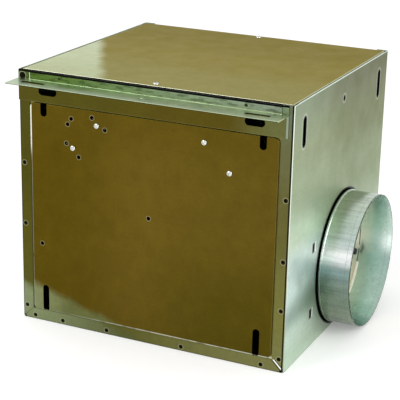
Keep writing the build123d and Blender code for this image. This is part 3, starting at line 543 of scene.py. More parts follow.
def make_flange():
    """Angle riveted to the rail: a flat leg with slots, and a shorter upright leg."""
    low, high = corners("mounting_flange")
    top = low.z + FLANGE_SHEET
    upright = (low.x + FLANGE_INSETS[0], high.x - FLANGE_INSETS[1])
    middle = ((low.x + high.x) / 2, (low.y + high.y) / 2, low.z)
    flange = start_sheet("mounting_flange_angle", middle, high.x - low.x, high.y - low.y, (180, 0, 0))
    for x in upright:
        divide(flange, (x, 0, 0), (1, 0, 0))
    choose(flange, "EDGE", lambda at, _: close(at.y, high.y) and upright[0] < at.x < upright[1])
    pull_out(z=high.z - low.z)
    choose(flange, "EDGE", lambda at, _: close(at.y, high.y) and close(at.z, low.z)
           and upright[0] < at.x < upright[1])
    round_over(FOLD_R, 5)
    thicken(flange, FLANGE_SHEET)
    choose(flange, "EDGE", lambda at, along: abs(along.z) > STRAIGHT and at.y < low.y + 1)
    round_over(FLANGE_CORNER_R, 4)
    middle = ((low.x + high.x) / 2, (low.y + high.y - FLANGE_SHEET) / 2)
    cutters = []
    for side in (-1, 1):
        place = (middle[0] + side * FLANGE_SLOT_REACH, middle[1], top)
        cutters.append(slot_cutter(FLANGE_SLOT_W, FLANGE_SLOT_LEN, place, (0, 0, 1), 90))
    cutters.append(start_rod("hole", (*middle, top), FLANGE_HOLE_R, CUT_LEN, (0, 0, 1), 32))
    cutters += hole_cutters(RIVET_HOLE_R, FLANGE_RIVETS, high.y, 5)
    cut(flange, *cutters)
    soften(flange, 0.2)
    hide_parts("mounting_flange")
    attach(flange, "housing")
    return flange


def make_cover():
    """Lift-off cover: a flat sheet with its edges folded down."""
    low, high = corners("top_cover")
    cover = start_block("top_cover_sheet", low, high)
    choose(cover, "FACE", lambda _, normal: normal.z < -STRAIGHT)
    bpy.ops.mesh.delete(type="FACE")
    done()
    choose(cover, "EDGE", lambda at, along: close(at.z, high.z))
    round_over(0.9, 4)
    thicken(cover)
    shelf = high.z - LEDGE_DROP + COVER_GAP
    cutters = []
    for side in (-1, 1):
        middle = side * (HALF_W - 10)
        cutters.append(start_block("corner", (middle - 10, -HALF_D - 10, 300),
                                   (middle + 10, HALF_D + 10, shelf)))
    notch = TAB_W / 2 + TAB_GAP
    for y in (low.y, high.y):
        cutters.append(start_block("notch", (-notch, y - 4, 300), (notch, y + 4, high.z - SHEET - 0.01)))
        hole_y = math.copysign(COVER_SCREW_Y, y)
        cutters.append(start_rod("hole", (0, hole_y, high.z), COVER_HOLE_R, 6, (0, 0, 1), 32))
    cut(cover, *cutters)
    soften(cover, 0.2)
    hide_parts("top_cover")
    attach(cover, "cover")
    return cover


# Collar
def make_collar():
    """Duct collar: a rolled tube with a bead beside the gasket, a rounded mouth and bent tabs."""
    low, high = corners("duct_collar")
    bore = COLLAR_R - COLLAR_WALL
    length = high.x - low.x
    bead = HALF_W + GASKET_T - low.x
    profile = [(0, bore), (0, COLLAR_R), (bead, COLLAR_R)]
    profile += [(bead + step, COLLAR_R + rise) for step, rise in BEAD_SHAPE]
    profile += [(length - 0.35, COLLAR_R), (length - 0.1, COLLAR_R - 0.12), (length, COLLAR_R - 0.4),
                (length - 0.1, bore + 0.12), (length - 0.35, bore), (0, bore)]
    tube = turned("duct_collar_tube", profile, 180)
    stand(tube, (low.x, COLLAR_Y, COLLAR_Z), (1, 0, 0))
    cut(tube, start_rod("bore", (ROD_X, COLLAR_Y, ROD_Z), BUSHING_HOLE_R, 230, (0, 1, 0), 32))
    pick(tube)
    bpy.ops.object.shade_smooth_by_angle(angle=math.radians(30))
    half = COLLAR_TAB_W / 2
    tab = start_block("tab", (HALF_W - 2 * SHEET, COLLAR_R - 0.3, -half),
                      (HALF_W - SHEET, COLLAR_R + COLLAR_TAB_REACH, half))
    choose(tab, "EDGE", lambda at, along: at.y > COLLAR_R + 8 and abs(along.x) > STRAIGHT)
    round_over(2.0, 5)
    soften(tab, 0.15)
    tabs = []
    for angle in TAB_ANGLES:
        turned_tab = copied(tab)
        turned_tab.rotation_mode = "XYZ"
        turned_tab.rotation_euler = (math.radians(angle), 0, 0)
        turned_tab.location = (0, COLLAR_Y * MM, COLLAR_Z * MM)
        tabs.append(settle(turned_tab))
    bpy.data.objects.remove(tab)
    tube = join("duct_collar_tube", *tabs, tube)
    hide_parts("duct_collar")
    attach(tube, "housing")
    return tube


def make_gasket():
    """Soft gasket squeezed between the side and the collar's bead, so its rim is a little uneven."""
    low, high = corners("collar_gasket")
    reach = (high.z - low.z) / 2
    inner = COLLAR_R + 0.03
    profile = [(0.02, inner), (0.02, reach - 0.5), (0.5, reach - 0.1), (GASKET_T / 2, reach - 0.15),
               (GASKET_T - 0.5, reach - 0.2), (GASKET_T - 0.02, reach - 0.8), (GASKET_T - 0.02, inner),
               (0.02, inner)]
    gasket = turned("collar_gasket_foam", profile, 220)
    stand(gasket, (low.x, COLLAR_Y, COLLAR_Z), (1, 0, 0))
    lumps = bpy.data.textures.new("gasket_lumps", "CLOUDS")
    lumps.noise_scale = 9 * MM
    lumps.noise_depth = 2
    modify(gasket, "DISPLACE", texture=lumps, texture_coords="LOCAL", strength=0.7 * MM, mid_level=0.75)
    bpy.ops.object.shade_smooth()
    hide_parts("collar_gasket")
    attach(gasket, "housing")
    return gasket


def make_clips():
    low, high = corners("damper_clips")
    clips = []
    for y in (COLLAR_Y - CLIP_REACH, COLLAR_Y + CLIP_REACH):
        clip = start_rod("clip", ((low.x + high.x) / 2, y, ROD_Z), CLIP_R, high.x - low.x, (1, 0, 0), 40)
        choose(clip, "FACE", lambda at, normal: normal.x > STRAIGHT)
        bpy.ops.mesh.inset(thickness=CLIP_RIM * MM)
        pull_out(x=-CLIP_DISH)
        clips.append(soften(clip, 0.5, 3))
    clips = join("damper_clip_buttons", *clips)
    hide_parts("damper_clips")
    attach(clips, "damper")
    return clips


# Screws and rivets
def make_screws(name, node, body, places, facing, length):
    """Round-head screws: one is modelled, the others are copies turned a little."""
    screw = turned("screw", SCREW_HEAD, 40)
    close_ends(screw)
    recess = [start_block("recess", (-across, -along, RECESS_FLOOR), (across, along, 3.4))
              for across, along in ((RECESS_REACH, RECESS_HALF_W), (RECESS_HALF_W, RECESS_REACH))]
    for cutter in recess:
        cut(screw, cutter)
    soften(screw, 0.12)
    shank = start_rod("shank", (0, 0, -length / 2 + 0.05), SHANK_R, length, (0, 0, 1), 32)
    choose(shank, "EDGE", lambda at, along: at.z < NEAR - length and abs(along.z) < NEAR)
    round_over(0.6, 2)
    bpy.ops.object.shade_smooth_by_angle(angle=math.radians(SOFT_ANGLE))
    screw = join("screw", shank, screw)
    screws = []
    for number, place in enumerate(places):
        screws.append(stand(copied(screw), place, facing, SCREW_SPINS[number % len(SCREW_SPINS)]))
    bpy.data.objects.remove(screw)
    screws = join(name, *screws)
    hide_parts(node)
    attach(screws, body)
    return screws


def make_eyelets(name, node, rows):
    """Hollow rivets; rows hold the places (X, Z), the face's Y, the way it faces and the grip."""
    eyelets = []
    for places, face, toward, grip in rows:
        profile = [(-grip, RIVET_BORE_R), (0.3, RIVET_BORE_R), (0.45, RIVET_BORE_R + 0.15),
                   (0.5, RIVET_BORE_R + 0.4), (0.48, RIVET_HEAD_R - 0.5), (0.3, RIVET_HEAD_R - 0.1),
                   (0, RIVET_HEAD_R), (0, RIVET_HOLE_R - 0.02), (-grip, RIVET_HOLE_R - 0.02),
                   (-grip, RIVET_BORE_R)]
        eyelet = turned("eyelet", profile, 32)
        bpy.ops.object.shade_smooth_by_angle(angle=math.radians(40))
        for number, (x, z) in enumerate(places):
            eyelets.append(stand(copied(eyelet), (x, face, z), (0, toward, 0), 37 * number))
        bpy.data.objects.remove(eyelet)
    eyelets = join(name, *eyelets)
    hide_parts(node)
    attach(eyelets, "housing")
    return eyelets


# Materials
def linear(colour):
    """Linear values for a colour given as it looks, from 0 to 255; a node's output stays as it is."""
    if isinstance(colour, bpy.types.NodeSocket):
        return colour
    parts = [value / 255 for value in colour]
    return (*[part / 12.92 if part <= 0.04045 else ((part + 0.055) / 1.055) ** 2.4 for part in parts], 1.0)


def add_node(tree, kind, values, out=0, **settings):
    """Add a node; values go from socket to a number, a colour or another node's output."""
    node = tree.nodes.new("ShaderNode" + kind)
    for name, value in settings.items():
        setattr(node, name, value)
    for socket, value in values.items():
        if isinstance(value, bpy.types.NodeSocket):
            tree.links.new(value, node.inputs[socket])
        else:
            node.inputs[socket].default_value = value
    return node.outputs[out]


def is_step(value):
    return isinstance(value, tuple) and isinstance(value[0], bpy.types.NodeSocket)


class Finish:
    """A material being painted; places and sizes are in millimetres of the object's own coordinates."""

    def __init__(self, name, metallic=0.0):
        self.material = bpy.data.materials.new(name)
        self.material.use_nodes = True
        self.tree = self.material.node_tree
        self.shader = self.tree.nodes["Principled BSDF"]
        self.shader.inputs["Metallic"].default_value = metallic
        metres = self.node("TexCoord", {}, "Object")
        self.place = self.node("VectorMath", {0: metres, 3: 1 / MM}, operation="SCALE")
        parts = self.tree.nodes.new("ShaderNodeSeparateXYZ")
        self.tree.links.new(self.place, parts.inputs[0])
        self.axes = tuple(parts.outputs)

    def node(self, kind, values, out=0, **settings):
        """Add a node to the material; a value may also be a soft step, written as ramp's arguments."""
        steps = {socket: self.ramp(*value) for socket, value in values.items() if is_step(value)}
        return add_node(self.tree, kind, {**values, **steps}, out, **settings)

    def calc(self, operation, first, second=0.0, third=0.0):
        return self.node("Math", {0: first, 1: second, 2: third}, operation=operation)

    def times(self, total, *others):
        """Product of several values."""
        for other in others:
            total = self.calc("MULTIPLY", total, other)
        return total

    def off(self, value, middle=0.0):
        """Distance of a value from a middle."""
        return self.calc("ABSOLUTE", self.calc("SUBTRACT", value, middle))

    def root(self, first, second):
        """Length across a right angle from two distances."""
        return self.calc("SQRT", self.calc("ADD", self.times(first, first), self.times(second, second)))

    def away(self, *places):
        """Distance from the nearest of these places."""
        nearest = None
        for place in places:
            gap = self.node("VectorMath", {0: self.place, 1: place}, out=1, operation="DISTANCE")
            nearest = gap if nearest is None else self.calc("MINIMUM", nearest, gap)
        return nearest

    def along(self, x=0.0, y=0.0, z=0.0, shift=0.0):
        """A slanted distance: x, y and z times these, plus a shift."""
        total = shift
        for share, axis in zip((x, y, z), self.axes):
            if share:
                total = self.calc("MULTIPLY_ADD", axis, share, total)
        return total

    def ramp(self, value, start, end, low=0.0, high=1.0):
        """Soft step from low at start to high at end."""
        return self.node("MapRange", {0: value, 1: start, 2: end, 3: low, 4: high},
                         interpolation_type="SMOOTHSTEP")

    def spread(self, noise, low, high):
        """The middle of a noise drawn out from low to high."""
        return self.node("MapRange", {0: noise, 1: 0.3, 2: 0.7, 3: low, 4: high})

    def blend(self, share, first, second):
        return self.node("Mix", {0: share, 6: linear(first), 7: linear(second)}, out=2, data_type="RGBA")

    def tint(self, coat, colour, *shares):
        """Lay a colour over a coat, where all of these shares are high."""
        return self.blend(self.times(*shares), coat, colour)

    def scaled(self, colour, share):
        """A colour lighter or darker by a factor."""
        if not isinstance(colour, bpy.types.NodeSocket):
            colour = linear(colour)[:3]
        return self.node("VectorMath", {0: colour, 3: share}, operation="SCALE")

    def vary(self, colour, noise, amount):
        """Lighter and darker by this share either way."""
        return self.scaled(colour, self.spread(noise, 1 - amount, 1 + amount))

    def noise(self, size, detail, stretch=(1, 1, 1), shift=0.0):
        """Cloud noise from 0 to 1, with blotches about this many millimetres across."""
        drawn = self.node("Mapping", {0: self.place, 1: (shift, shift * 1.7, -shift), 3: stretch})
        values = {"Vector": drawn, "Scale": 1 / size, "Detail": detail, "Roughness": 0.55}
        return self.node("TexNoise", values)

    def stops(self, share, *stops):
        """Colour drawn on through (position, colour) stops."""
        drawn = self.node("ValToRGB", {0: share})
        band = drawn.node.color_ramp
        band.interpolation = "EASE"
        for element, (position, colour) in zip(band.elements, (stops[0], stops[-1])):
            element.position, element.color = position, linear(colour)
        for position, colour in stops[1:-1]:
            band.elements.new(position).color = linear(colour)
        return drawn

    def finish(self, colour, rough, bump, bump_depth):
        """Join up the colour, the roughness and the height (bump_depth in millimetres)."""
        normal = self.node("Bump", {"Strength": 1.0, "Distance": bump_depth * MM, "Height": bump})
        for socket, value in (("Base Color", colour), ("Roughness", rough), ("Normal", normal)):
            self.tree.links.new(value, self.shader.inputs[socket])
        return self.material


def sheet_metal(name, paint, rolled=(1, 1, 0.02), metallic=1.0, rough=(0.26, 0.38), flaw=0.0, edge=None):
    """Zinc-coated sheet: clouds, fine mottling, faint rolling lines, small scuffs and wavy faces."""
    look = Finish(name, metallic)
    if edge:
        look.shader.inputs["Specular Tint"].default_value = edge
    lines = look.noise(1.6, 3.0, rolled, 11)
    mottling = ((look.noise(105, 2.0, shift=31), 0.035), (look.noise(13, 3.0, (1, 1, 0.7), 61), 0.04),
                (look.noise(4.5, 3.0, shift=5), 0.05), (lines, 0.03))
    colour = paint(look)
    for noise, amount in mottling:
        colour = look.vary(colour, noise, amount)
    scuffs = look.ramp(look.noise(9, 6.0, (1, 1, 0.7), 77), 0.7, 0.78)
    if flaw:
        colour = look.tint(colour, (206, 214, 190), scuffs, flaw)
    roughness = look.calc("MULTIPLY_ADD", scuffs, 0.12, look.spread(look.noise(38, 4.0, shift=3), *rough))
    waves = look.calc("MULTIPLY_ADD", look.noise(70, 1.0, shift=9), 2.0, look.times(lines, 0.12))
    return look.finish(colour, roughness, waves, 0.05)


def at_depth(places, y):
    return [(x, y, z) for x, z in places]


def ring_marks(look, coat, places, radius, halo):
    """Painted shade in each hole or rivet at these places out to a radius, with a painted highlight halo
    round it.
    """
    away = look.away(*places)
    coat = look.tint(coat, (190, 190, 156), (away, radius + 1.5, radius + 1.1),
                     (away, radius, radius + 0.3, 0.0, halo))
    return look.tint(coat, (12, 10, 4), (away, radius + 0.2, radius - 0.1))


def reflection_edge(look):
    """Uneven slanted line that the pale painted reflection in the lower left corner ends at."""
    line = look.along(x=0.285, z=1.0, shift=49.3)
    return look.calc("MULTIPLY_ADD", look.noise(26, 3.0, shift=50), 16.0, line)


def front_paint(look):
    """Olive-brown coat of the front with painted reflection: a pale patch in its lower left corner, and
    painted highlights on the pressed rim.
    """
    x, y, z = look.axes
    # Tones across and up the front are painted reflection.
    coat = look.stops((x, -212, 212), (0.0, (84, 69, 11)), (0.5, (97, 80, 24)), (1.0, (92, 77, 23)))
    coat = look.tint(coat, (89, 73, 17), (z, 270, 345, 0.0, 0.7))
    coat = look.tint(coat, (81, 70, 16), (z, 200, 80), (x, -60, 130))
    # Pale painted reflection in the lower left corner, ending at an uneven slanted line.
    pale = look.blend((x, -195, -120), (130, 138, 96), (104, 110, 66))
    coat = look.tint(coat, pale, (reflection_edge(look), 71, 55, 0.0, 0.9))
    coat = look.vary(coat, look.noise(24, 5.0, shift=66), 0.06)
    # Painted highlight on the raised middle's right and top bends.
    fold = look.calc("MAXIMUM", (x, 193.2, 194.0), (z, 340.6, 341.4))
    coat = look.tint(coat, (120, 112, 62), fold, (y, -202.4, -202.0))
    # Painted highlight lines on the left bend and along the lower edge, in patches.
    left = look.times((x, -192.7, -193.2), (z, 255, 285, 0.3, 1.0),
                      (y, -200.6, -201.2))
    low = look.times((z, 21.9, 21.1), (x, -150, 20, 0.1, 0.6))
    wear_and_highlight_patches = (look.noise(18, 4.0, shift=90), 0.35, 0.5, 0.35, 1.0)
    coat = look.tint(coat, (220, 224, 204), look.calc("MAXIMUM", left, low), wear_and_highlight_patches)
    # Painted shade line on the left bend, low down.
    coat = look.tint(coat, (24, 26, 12), (x, -193.3, -193.7), (z, 285, 250, 0.0, 0.85))
    # Painted shade in the spare holes and the shaft hole, with a painted highlight halo.
    holes = at_depth(around_shaft(SPARE_HOLES) + [(0, SHAFT_Z)], PANEL_FACE)
    return ring_marks(look, coat, holes, SPARE_HOLE_R + 0.8, 0.22)


def corner_marks(look, coat):
    """Painted shade and a painted highlight along the open mitre, as a black and a bright line, and painted
    shade in the reliefs of the lower corners.
    """
    x, _, z = look.axes
    across = look.along(x=0.7071, z=0.7071, shift=-152.03)
    corner = look.times((x, 196.0, 197.0), (z, 18.6, 18.0))
    for colour, middle, reach in (((14, 14, 10), 1.6, 2.7), ((250, 250, 246), 1.5, 1.5)):
        coat = look.tint(coat, colour, corner, (look.off(across, middle), reach, reach - 0.3))
    for side, size in ((-1, 4.0), (1, 4.2)):
        away = look.away((side * (HALF_W - 2 * SHEET), SHEET - HALF_D, SHEET))
        coat = look.tint(coat, (10, 10, 8), (away, size + 0.3, size - 0.3))
    return coat


def strip_paint(look):
    """Coat of the folded strips, a little greener than the front panel, its tones by height and across
    painted reflection.
    """
    x, _, z = look.axes
    rise = look.calc("DIVIDE", z, HOUSING_H)
    left = look.stops(rise, (0.0, (84, 82, 26)), (0.4, (78, 74, 13)), (0.62, (71, 67, 8)),
                      (1.0, (77, 73, 17)))
    right = look.stops(rise, (0.0, (118, 118, 72)), (0.2, (112, 111, 55)), (0.6, (93, 89, 44)),
                       (0.82, (98, 99, 62)), (1.0, (104, 112, 88)))
    coat = look.blend((x, -150, 170), left, right)
    # Pale painted reflection, as on the front.
    pale = look.blend((x, -200, -20), (126, 136, 98), (92, 97, 58))
    coat = look.tint(coat, pale, (reflection_edge(look), 62, 44))
    # Painted shade along the bottom edge and beside the left fold.
    coat = look.tint(coat, (24, 22, 8), (z, 1.7, 1.0, 0.0, 0.75))
    coat = look.tint(coat, (12, 12, 6), (x, -212.6, -213.2, 0.0, 0.85))
    # Painted shade in the rivets, with a painted highlight halo.
    coat = ring_marks(look, coat, at_depth(FRONT_RIVETS, -HALF_D), RIVET_HEAD_R + 0.5, 0.28)
    return corner_marks(look, coat)


def slit_marks(look, coat, right):
    """Painted shade in the slits beside the collar, each with a painted highlight along one edge."""
    _, y, z = look.axes
    for slit_y, slit_z, _ in slit_places():
        here = look.times((look.off(z, slit_z), 8.0, 7.0), right)
        coat = look.tint(coat, (255, 255, 255), here, (look.off(y, slit_y + 7.0), 3.0, 2.4))
        coat = look.tint(coat, (4, 5, 4), here, (look.off(y, slit_y), 5.0, 4.4))
    return coat


def side_openings(look, coat):
    """Painted shade on the walls and rims of the upright slots and the small hole, with a painted highlight
    halo round them.
    """
    _, y, z = look.axes
    rise = look.calc("SUBTRACT", look.off(z, HOUSING_H - SLOT_DROP), (SLOT_LEN - SLOT_W) / 2)
    rise = look.calc("MAXIMUM", rise, 0.0)
    across = look.off(look.off(y), HALF_D - SIDE_SLOT_INSET)
    slots = look.calc("SUBTRACT", look.root(rise, across), SLOT_W / 2)
    hole = look.root(y, look.calc("SUBTRACT", z, HOUSING_H - SIDE_HOLE_DROP))
    away = look.calc("MINIMUM", slots, look.calc("SUBTRACT", hole, SIDE_HOLE_R))
    coat = look.tint(coat, (236, 244, 230), (away, 5.6, 4.2, 0.0, 0.2), (away, 1.8, 2.4))
    return look.tint(coat, (4, 4, 3), (away, 2.0, 1.6))


def round_collar(look):
    """Steps across and up from the collar's middle, and the distance from it."""
    across = look.calc("SUBTRACT", look.axes[1], COLLAR_Y)
    rise = look.calc("SUBTRACT", look.axes[2], COLLAR_Z)
    return across, rise, look.root(across, rise)


def side_paint(look):
    """Pale grey-green coat of the sides with painted reflection: lighter bands low down, more olive towards
    the top and back.
    """
    x, y, z = look.axes
    rise = look.calc("DIVIDE", z, HOUSING_H)
    near = look.stops(rise, (0.0, (192, 212, 190)), (0.05, (186, 206, 184)), (0.13, (194, 214, 198)),
                      (0.2, (150, 174, 160)), (0.3, (226, 246, 240)), (0.4, (216, 234, 226)),
                      (0.5, (194, 210, 184)), (0.66, (155, 170, 136)), (0.82, (140, 153, 115)),
                      (1.0, (128, 142, 112)))
    far = look.stops(rise, (0.0, (178, 196, 172)), (0.3, (164, 182, 154)), (0.6, (125, 139, 98)),
                     (0.8, (104, 114, 64)), (1.0, (84, 90, 38)))
    coat = look.blend((y, -200, 70), near, far)
    coat = look.tint(coat, (150, 156, 140), (look.off(x), HALF_W - 0.4, HALF_W - 0.8))
    # Painted highlight along the top edge.
    coat = look.tint(coat, (204, 220, 204), (z, 388.9, 389.3))
    right = look.ramp(x, 0, 50)
    # Painted shade and highlights at the slits, slots and hole.
    coat = side_openings(look, slit_marks(look, coat, right))
    # Painted shade round the collar's base.
    coat = look.tint(coat, (6, 6, 6), (round_collar(look)[2], 106.7, 106.1), right)
    coat = look.tint(coat, strip_paint(look), (y, -198.4, -199.2))
    # Painted highlight on the front fold, stronger higher up.
    coat = look.tint(coat, (228, 236, 224), (x, 213.9, 214.3), (y, -198.2, -198.8),
                     (z, 20, 300, 0.2, 1.0))
    # Dark painted reflection on the strip beside the front fold.
    return look.tint(coat, (16, 16, 10), (x, 211.2, 212.0), (x, 213.9, 213.5),
                     (y, -198.6, -199.4))


def pan_paint(look):
    """Coat of the bottom pan: paler under it, and as the strips at the front."""
    _, y, z = look.axes
    coat = look.blend((z, 0.4, 1.0), (168, 182, 158), (150, 156, 140))
    return look.tint(coat, strip_paint(look), (y, -198.2, -199.0))


def rail_paint(look):
    """Coat of the rail: as the front under the flange, paler at its right end as painted reflection, with
    painted highlights on its lower edge and right end and a painted shadow along its upper edge.
    """
    x, y, z = look.axes
    coat = look.blend((x, -150, 60), (79, 74, 25), (83, 72, 22))
    # Paler towards the right end as painted reflection.
    coat = look.tint(coat, (96, 98, 56), (x, 110, 190))
    # Painted highlights along the lower edge and on the right end.
    coat = look.tint(coat, (160, 160, 110), (z, 345.2, 344.6), (x, 206, 200, 0.0, 0.12))
    coat = look.tint(coat, (136, 148, 130), (x, 203.4, 204.6))
    upper = look.blend((x, 60, 190), (76, 94, 50), (132, 146, 124))
    coat = look.tint(coat, upper, (z, 376, 380))
    # Painted shade in a wide ring round the top rivet, with a painted highlight halo.
    coat = ring_marks(look, coat, at_depth(TOP_RIVETS, RAIL_FACE), RIVET_HEAD_R + 2.2, 0.4)
    # Painted shadow along the upper edge, under the cover.
    coat = look.tint(coat, (8, 9, 6), (z, 386.6, 387.2))
    return look.tint(coat, (44, 46, 30), (y, -200.6, -199.8))


def flange_paint(look):
    """Flat leg pale green; upright leg darker with painted shade, most at its left, with a painted
    highlight on its cut end and a painted shadow along its upper edge.
    """
    x, y, z = look.axes
    low = corners("mounting_flange")[0]
    # Upright leg darker, most at its left, as painted shade.
    upright = look.blend((x, -190, 190), (92, 116, 54), (148, 160, 144))
    stains = (look.noise(7, 4.0, (0.4, 1, 1.6), 40), 0.47, 0.6, 0.0, 0.5)
    upright = look.tint(upright, (44, 56, 30), stains)
    # Painted highlight on the upright's cut end; painted shadow along its upper edge.
    upright = look.tint(upright, (232, 236, 224), (x, -194.4, -194.9))
    upright = look.tint(upright, (8, 9, 6), (z, 386.6, 387.2))
    flat = look.blend((x, -200, 150), (186, 204, 172), (180, 194, 156))
    # Painted shade in the slots.
    slots = (look.off(look.off(x, -4.0), FLANGE_SLOT_REACH), 18.4, 18.0)
    flat = look.tint(flat, (18, 20, 14), slots, (look.off(y, -220.25), 4.5, 4.2))
    # Painted shadow on the lower part of the flat leg's front edge.
    under = (y, low.y + 0.35, low.y + 0.2)
    flat = look.tint(flat, (10, 10, 6), under, (z, low.z + 0.85, low.z + 0.7))
    flat = look.tint(flat, (120, 130, 104), (x, low.x + 0.3, low.x + 0.15))
    return look.tint(flat, upright, (z, 377.1, 377.7))


def cover_paint(look):
    """Coat of the cover with painted reflection: cream-olive at the front, darker olive behind, and pale
    over its left corner; a painted highlight on its rim and painted shadow on its lips.
    """
    x, y, z = look.axes
    # Front-to-back tones and the pale left corner are painted reflection.
    coat = look.stops((y, -195, 195), (0.0, (154, 151, 96)), (0.45, (146, 136, 63)),
                      (1.0, (131, 121, 36)))
    line = look.along(x=0.8716, y=0.4901, shift=160.0)
    edge = look.calc("MULTIPLY_ADD", look.noise(30, 3.0, shift=20), 16.0, line)
    pale = look.blend((y, -190, 60), (208, 224, 194), (226, 242, 222))
    coat = look.tint(coat, pale, (edge, 13, -9))
    # Painted highlight along the rim.
    rim = look.calc("MAXIMUM", (look.off(x), 209.3, 209.8), (look.off(y), 193.4, 193.9))
    coat = look.tint(coat, (214, 218, 188), rim)
    # Painted shadow on the folded lips.
    return look.tint(coat, (8, 8, 6), (z, 389.62, 389.42))


def collar_paint(look):
    """Coat of the collar by the angle round it, its light and dark bands painted highlight and reflection,
    with brushed lines and a forming line near its mouth.
    """
    x, _, z = look.axes
    across, rise, radius = round_collar(look)
    turn = look.calc("ARCTAN2", rise, look.times(across, -1.0))
    turn = look.calc("SUBTRACT", 0.5, look.calc("DIVIDE", turn, 2 * math.pi))
    # Painted reflection round the outside: a painted highlight band with dark bands below it.
    outside = look.stops(turn, (0.0, (160, 178, 160)), (0.3, (196, 210, 194)), (0.36, (190, 208, 194)),
                         (0.408, (198, 214, 208)), (0.444, (250, 254, 252)), (0.48, (120, 142, 138)),
                         (0.52, (110, 126, 114)), (0.56, (124, 138, 122)), (0.63, (138, 150, 132)),
                         (0.8, (110, 124, 108)), (1.0, (160, 178, 160)))
    outside = look.vary(outside, look.noise(5, 4.0, (0.06, 1, 1), 60), 0.16)
    # Painted reflection on the inside wall, much lighter from halfway up.
    inside = look.stops(look.calc("DIVIDE", z, 210.0), (0.0, (172, 196, 182)), (0.35, (166, 193, 183)),
                        (0.5, (238, 250, 246)), (0.62, (214, 236, 226)), (1.0, (248, 255, 252)))
    outer = look.ramp(radius, COLLAR_R - 0.5, COLLAR_R - 0.3)
    coat = look.blend(outer, inside, outside)
    dots = (look.noise(1.6, 1.0, shift=71), 0.45, 0.55)
    coat = look.tint(coat, (84, 92, 80), (look.off(x, 257.0), 0.7, 0.3, 0.0, 0.4), dots)
    # Painted shade on the outside next to the mouth.
    coat = look.tint(coat, (66, 72, 60), outer, (x, 263.9, 264.6, 0.0, 0.7))
    # The mouth's cut end in dark and pale patches.
    end_patches = (look.noise(6, 3.0, shift=33), 0.46, 0.62)
    end_patches = look.blend(end_patches, (40, 44, 36), (170, 184, 172))
    return look.tint(coat, end_patches, (x, 265.3, 265.6))


def zinc_paint(colour):
    """Plain zinc with slightly lighter clouds."""
    return lambda look: look.scaled(colour, (look.noise(12, 5.0, shift=2), 0.42, 0.6, 1.0, 1.08))


def moulded(name, colour, roughness, grain=0.12, shine=0.5):
    """Plastic or rubber: one colour with slight blotches and a fine grain."""
    look = Finish(name)
    look.shader.inputs["Specular IOR Level"].default_value = shine
    shade = look.vary(colour, look.noise(14, 3.0, shift=4), grain)
    rough = look.spread(look.noise(3, 3.0), roughness - 0.07, roughness + 0.07)
    return look.finish(shade, rough, look.noise(0.7, 2.0), 0.04)


def bare_metal(name, colour, rough, metallic=1.0, lines=(1, 1, 1)):
    """Turned, drawn or cast metal with machining lines along the stretched axis."""
    look = Finish(name, metallic)
    grain = look.noise(0.8, 3.0, lines, 8)
    shade = look.vary(look.vary(colour, look.noise(9, 4.0, shift=6), 0.08), grain, 0.06)
    return look.finish(shade, look.spread(grain, *rough), grain, 0.02)


def painted_motor(name, colour):
    """Sprayed enamel with a faint orange-peel surface and rubbed spots."""
    look = Finish(name)
    shade = look.vary(colour, look.noise(30, 4.0, shift=4), 0.1)
    wear_and_highlight_patches = look.ramp(look.noise(9, 6.0, shift=14), 0.68, 0.74)
    shade = look.tint(shade, (120, 120, 116), wear_and_highlight_patches, 0.5)
    rough = look.calc("MULTIPLY_ADD", wear_and_highlight_patches, 0.2, 0.33)
    return look.finish(shade, rough, look.noise(1.6, 2.0), 0.06)


def winding(name):
    """Varnished copper wire: close turns with dark gaps."""
    look = Finish(name, 0.6)
    wire = look.node("TexWave", {"Vector": look.place, "Scale": 0.55, "Distortion": 1.5, "Detail": 1.0,
                                 "Detail Scale": 0.4}, out=1, wave_type="RINGS", rings_direction="Y")
    shade = look.blend(wire, (92, 44, 16), (196, 116, 56))
    return look.finish(shade, look.ramp(wire, 0, 1, 0.5, 0.3), wire, 0.3)


def laminations(name):
    """Stack of thin punched steel sheets."""
    look = Finish(name, 0.8)
    layer = look.node("TexWave", {"Vector": look.place, "Scale": 0.32, "Distortion": 0.3}, out=1,
                      wave_type="BANDS", bands_direction="Y")
    shade = look.blend(layer, (70, 68, 66), (150, 148, 144))
    return look.finish(shade, look.ramp(layer, 0, 1, 0.55, 0.35), layer, 0.1)


ALONG_X = (0.02, 1, 1)     # rolling lines that run along X


def put_on(piece, material):
    piece.data.materials.clear()
    piece.data.materials.append(material)


def paint_pieces(slot, material, *pieces):
    """Give new pieces one material; slot, the record's finish that they take, is not used."""
    for piece in pieces:
        put_on(piece, material)


def paint_nodes(material, *names):
    """Give CAD nodes one material."""
    for name in names:
        put_on(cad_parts[name], material)


# Camera, floor and light
def camera_at_the_photograph():
    azimuth, elevation, roll = (math.radians(angle) for angle in (24.85, 18.68, 1.35))
    level = math.cos(elevation)
    back = Vector((math.sin(azimuth) * level, -math.cos(azimuth) * level, math.sin(elevation)))
    target = Vector((-0.0132, 0.0, 0.1625))
    bpy.ops.object.camera_add(location=target + back * 2.113)
    camera = bpy.context.object
    camera.name = "photograph_camera"
    camera.rotation_mode = "QUATERNION"
    turn = Matrix.Rotation(roll, 4, "Z").to_quaternion()
    camera.rotation_quaternion = (-back).to_track_quat("-Z", "Y") @ turn
    camera.data.sensor_width = 36.0
    camera.data.lens = 121.05
    camera.data.clip_start, camera.data.clip_end = 0.05, 50.0
    bpy.context.scene.camera = camera


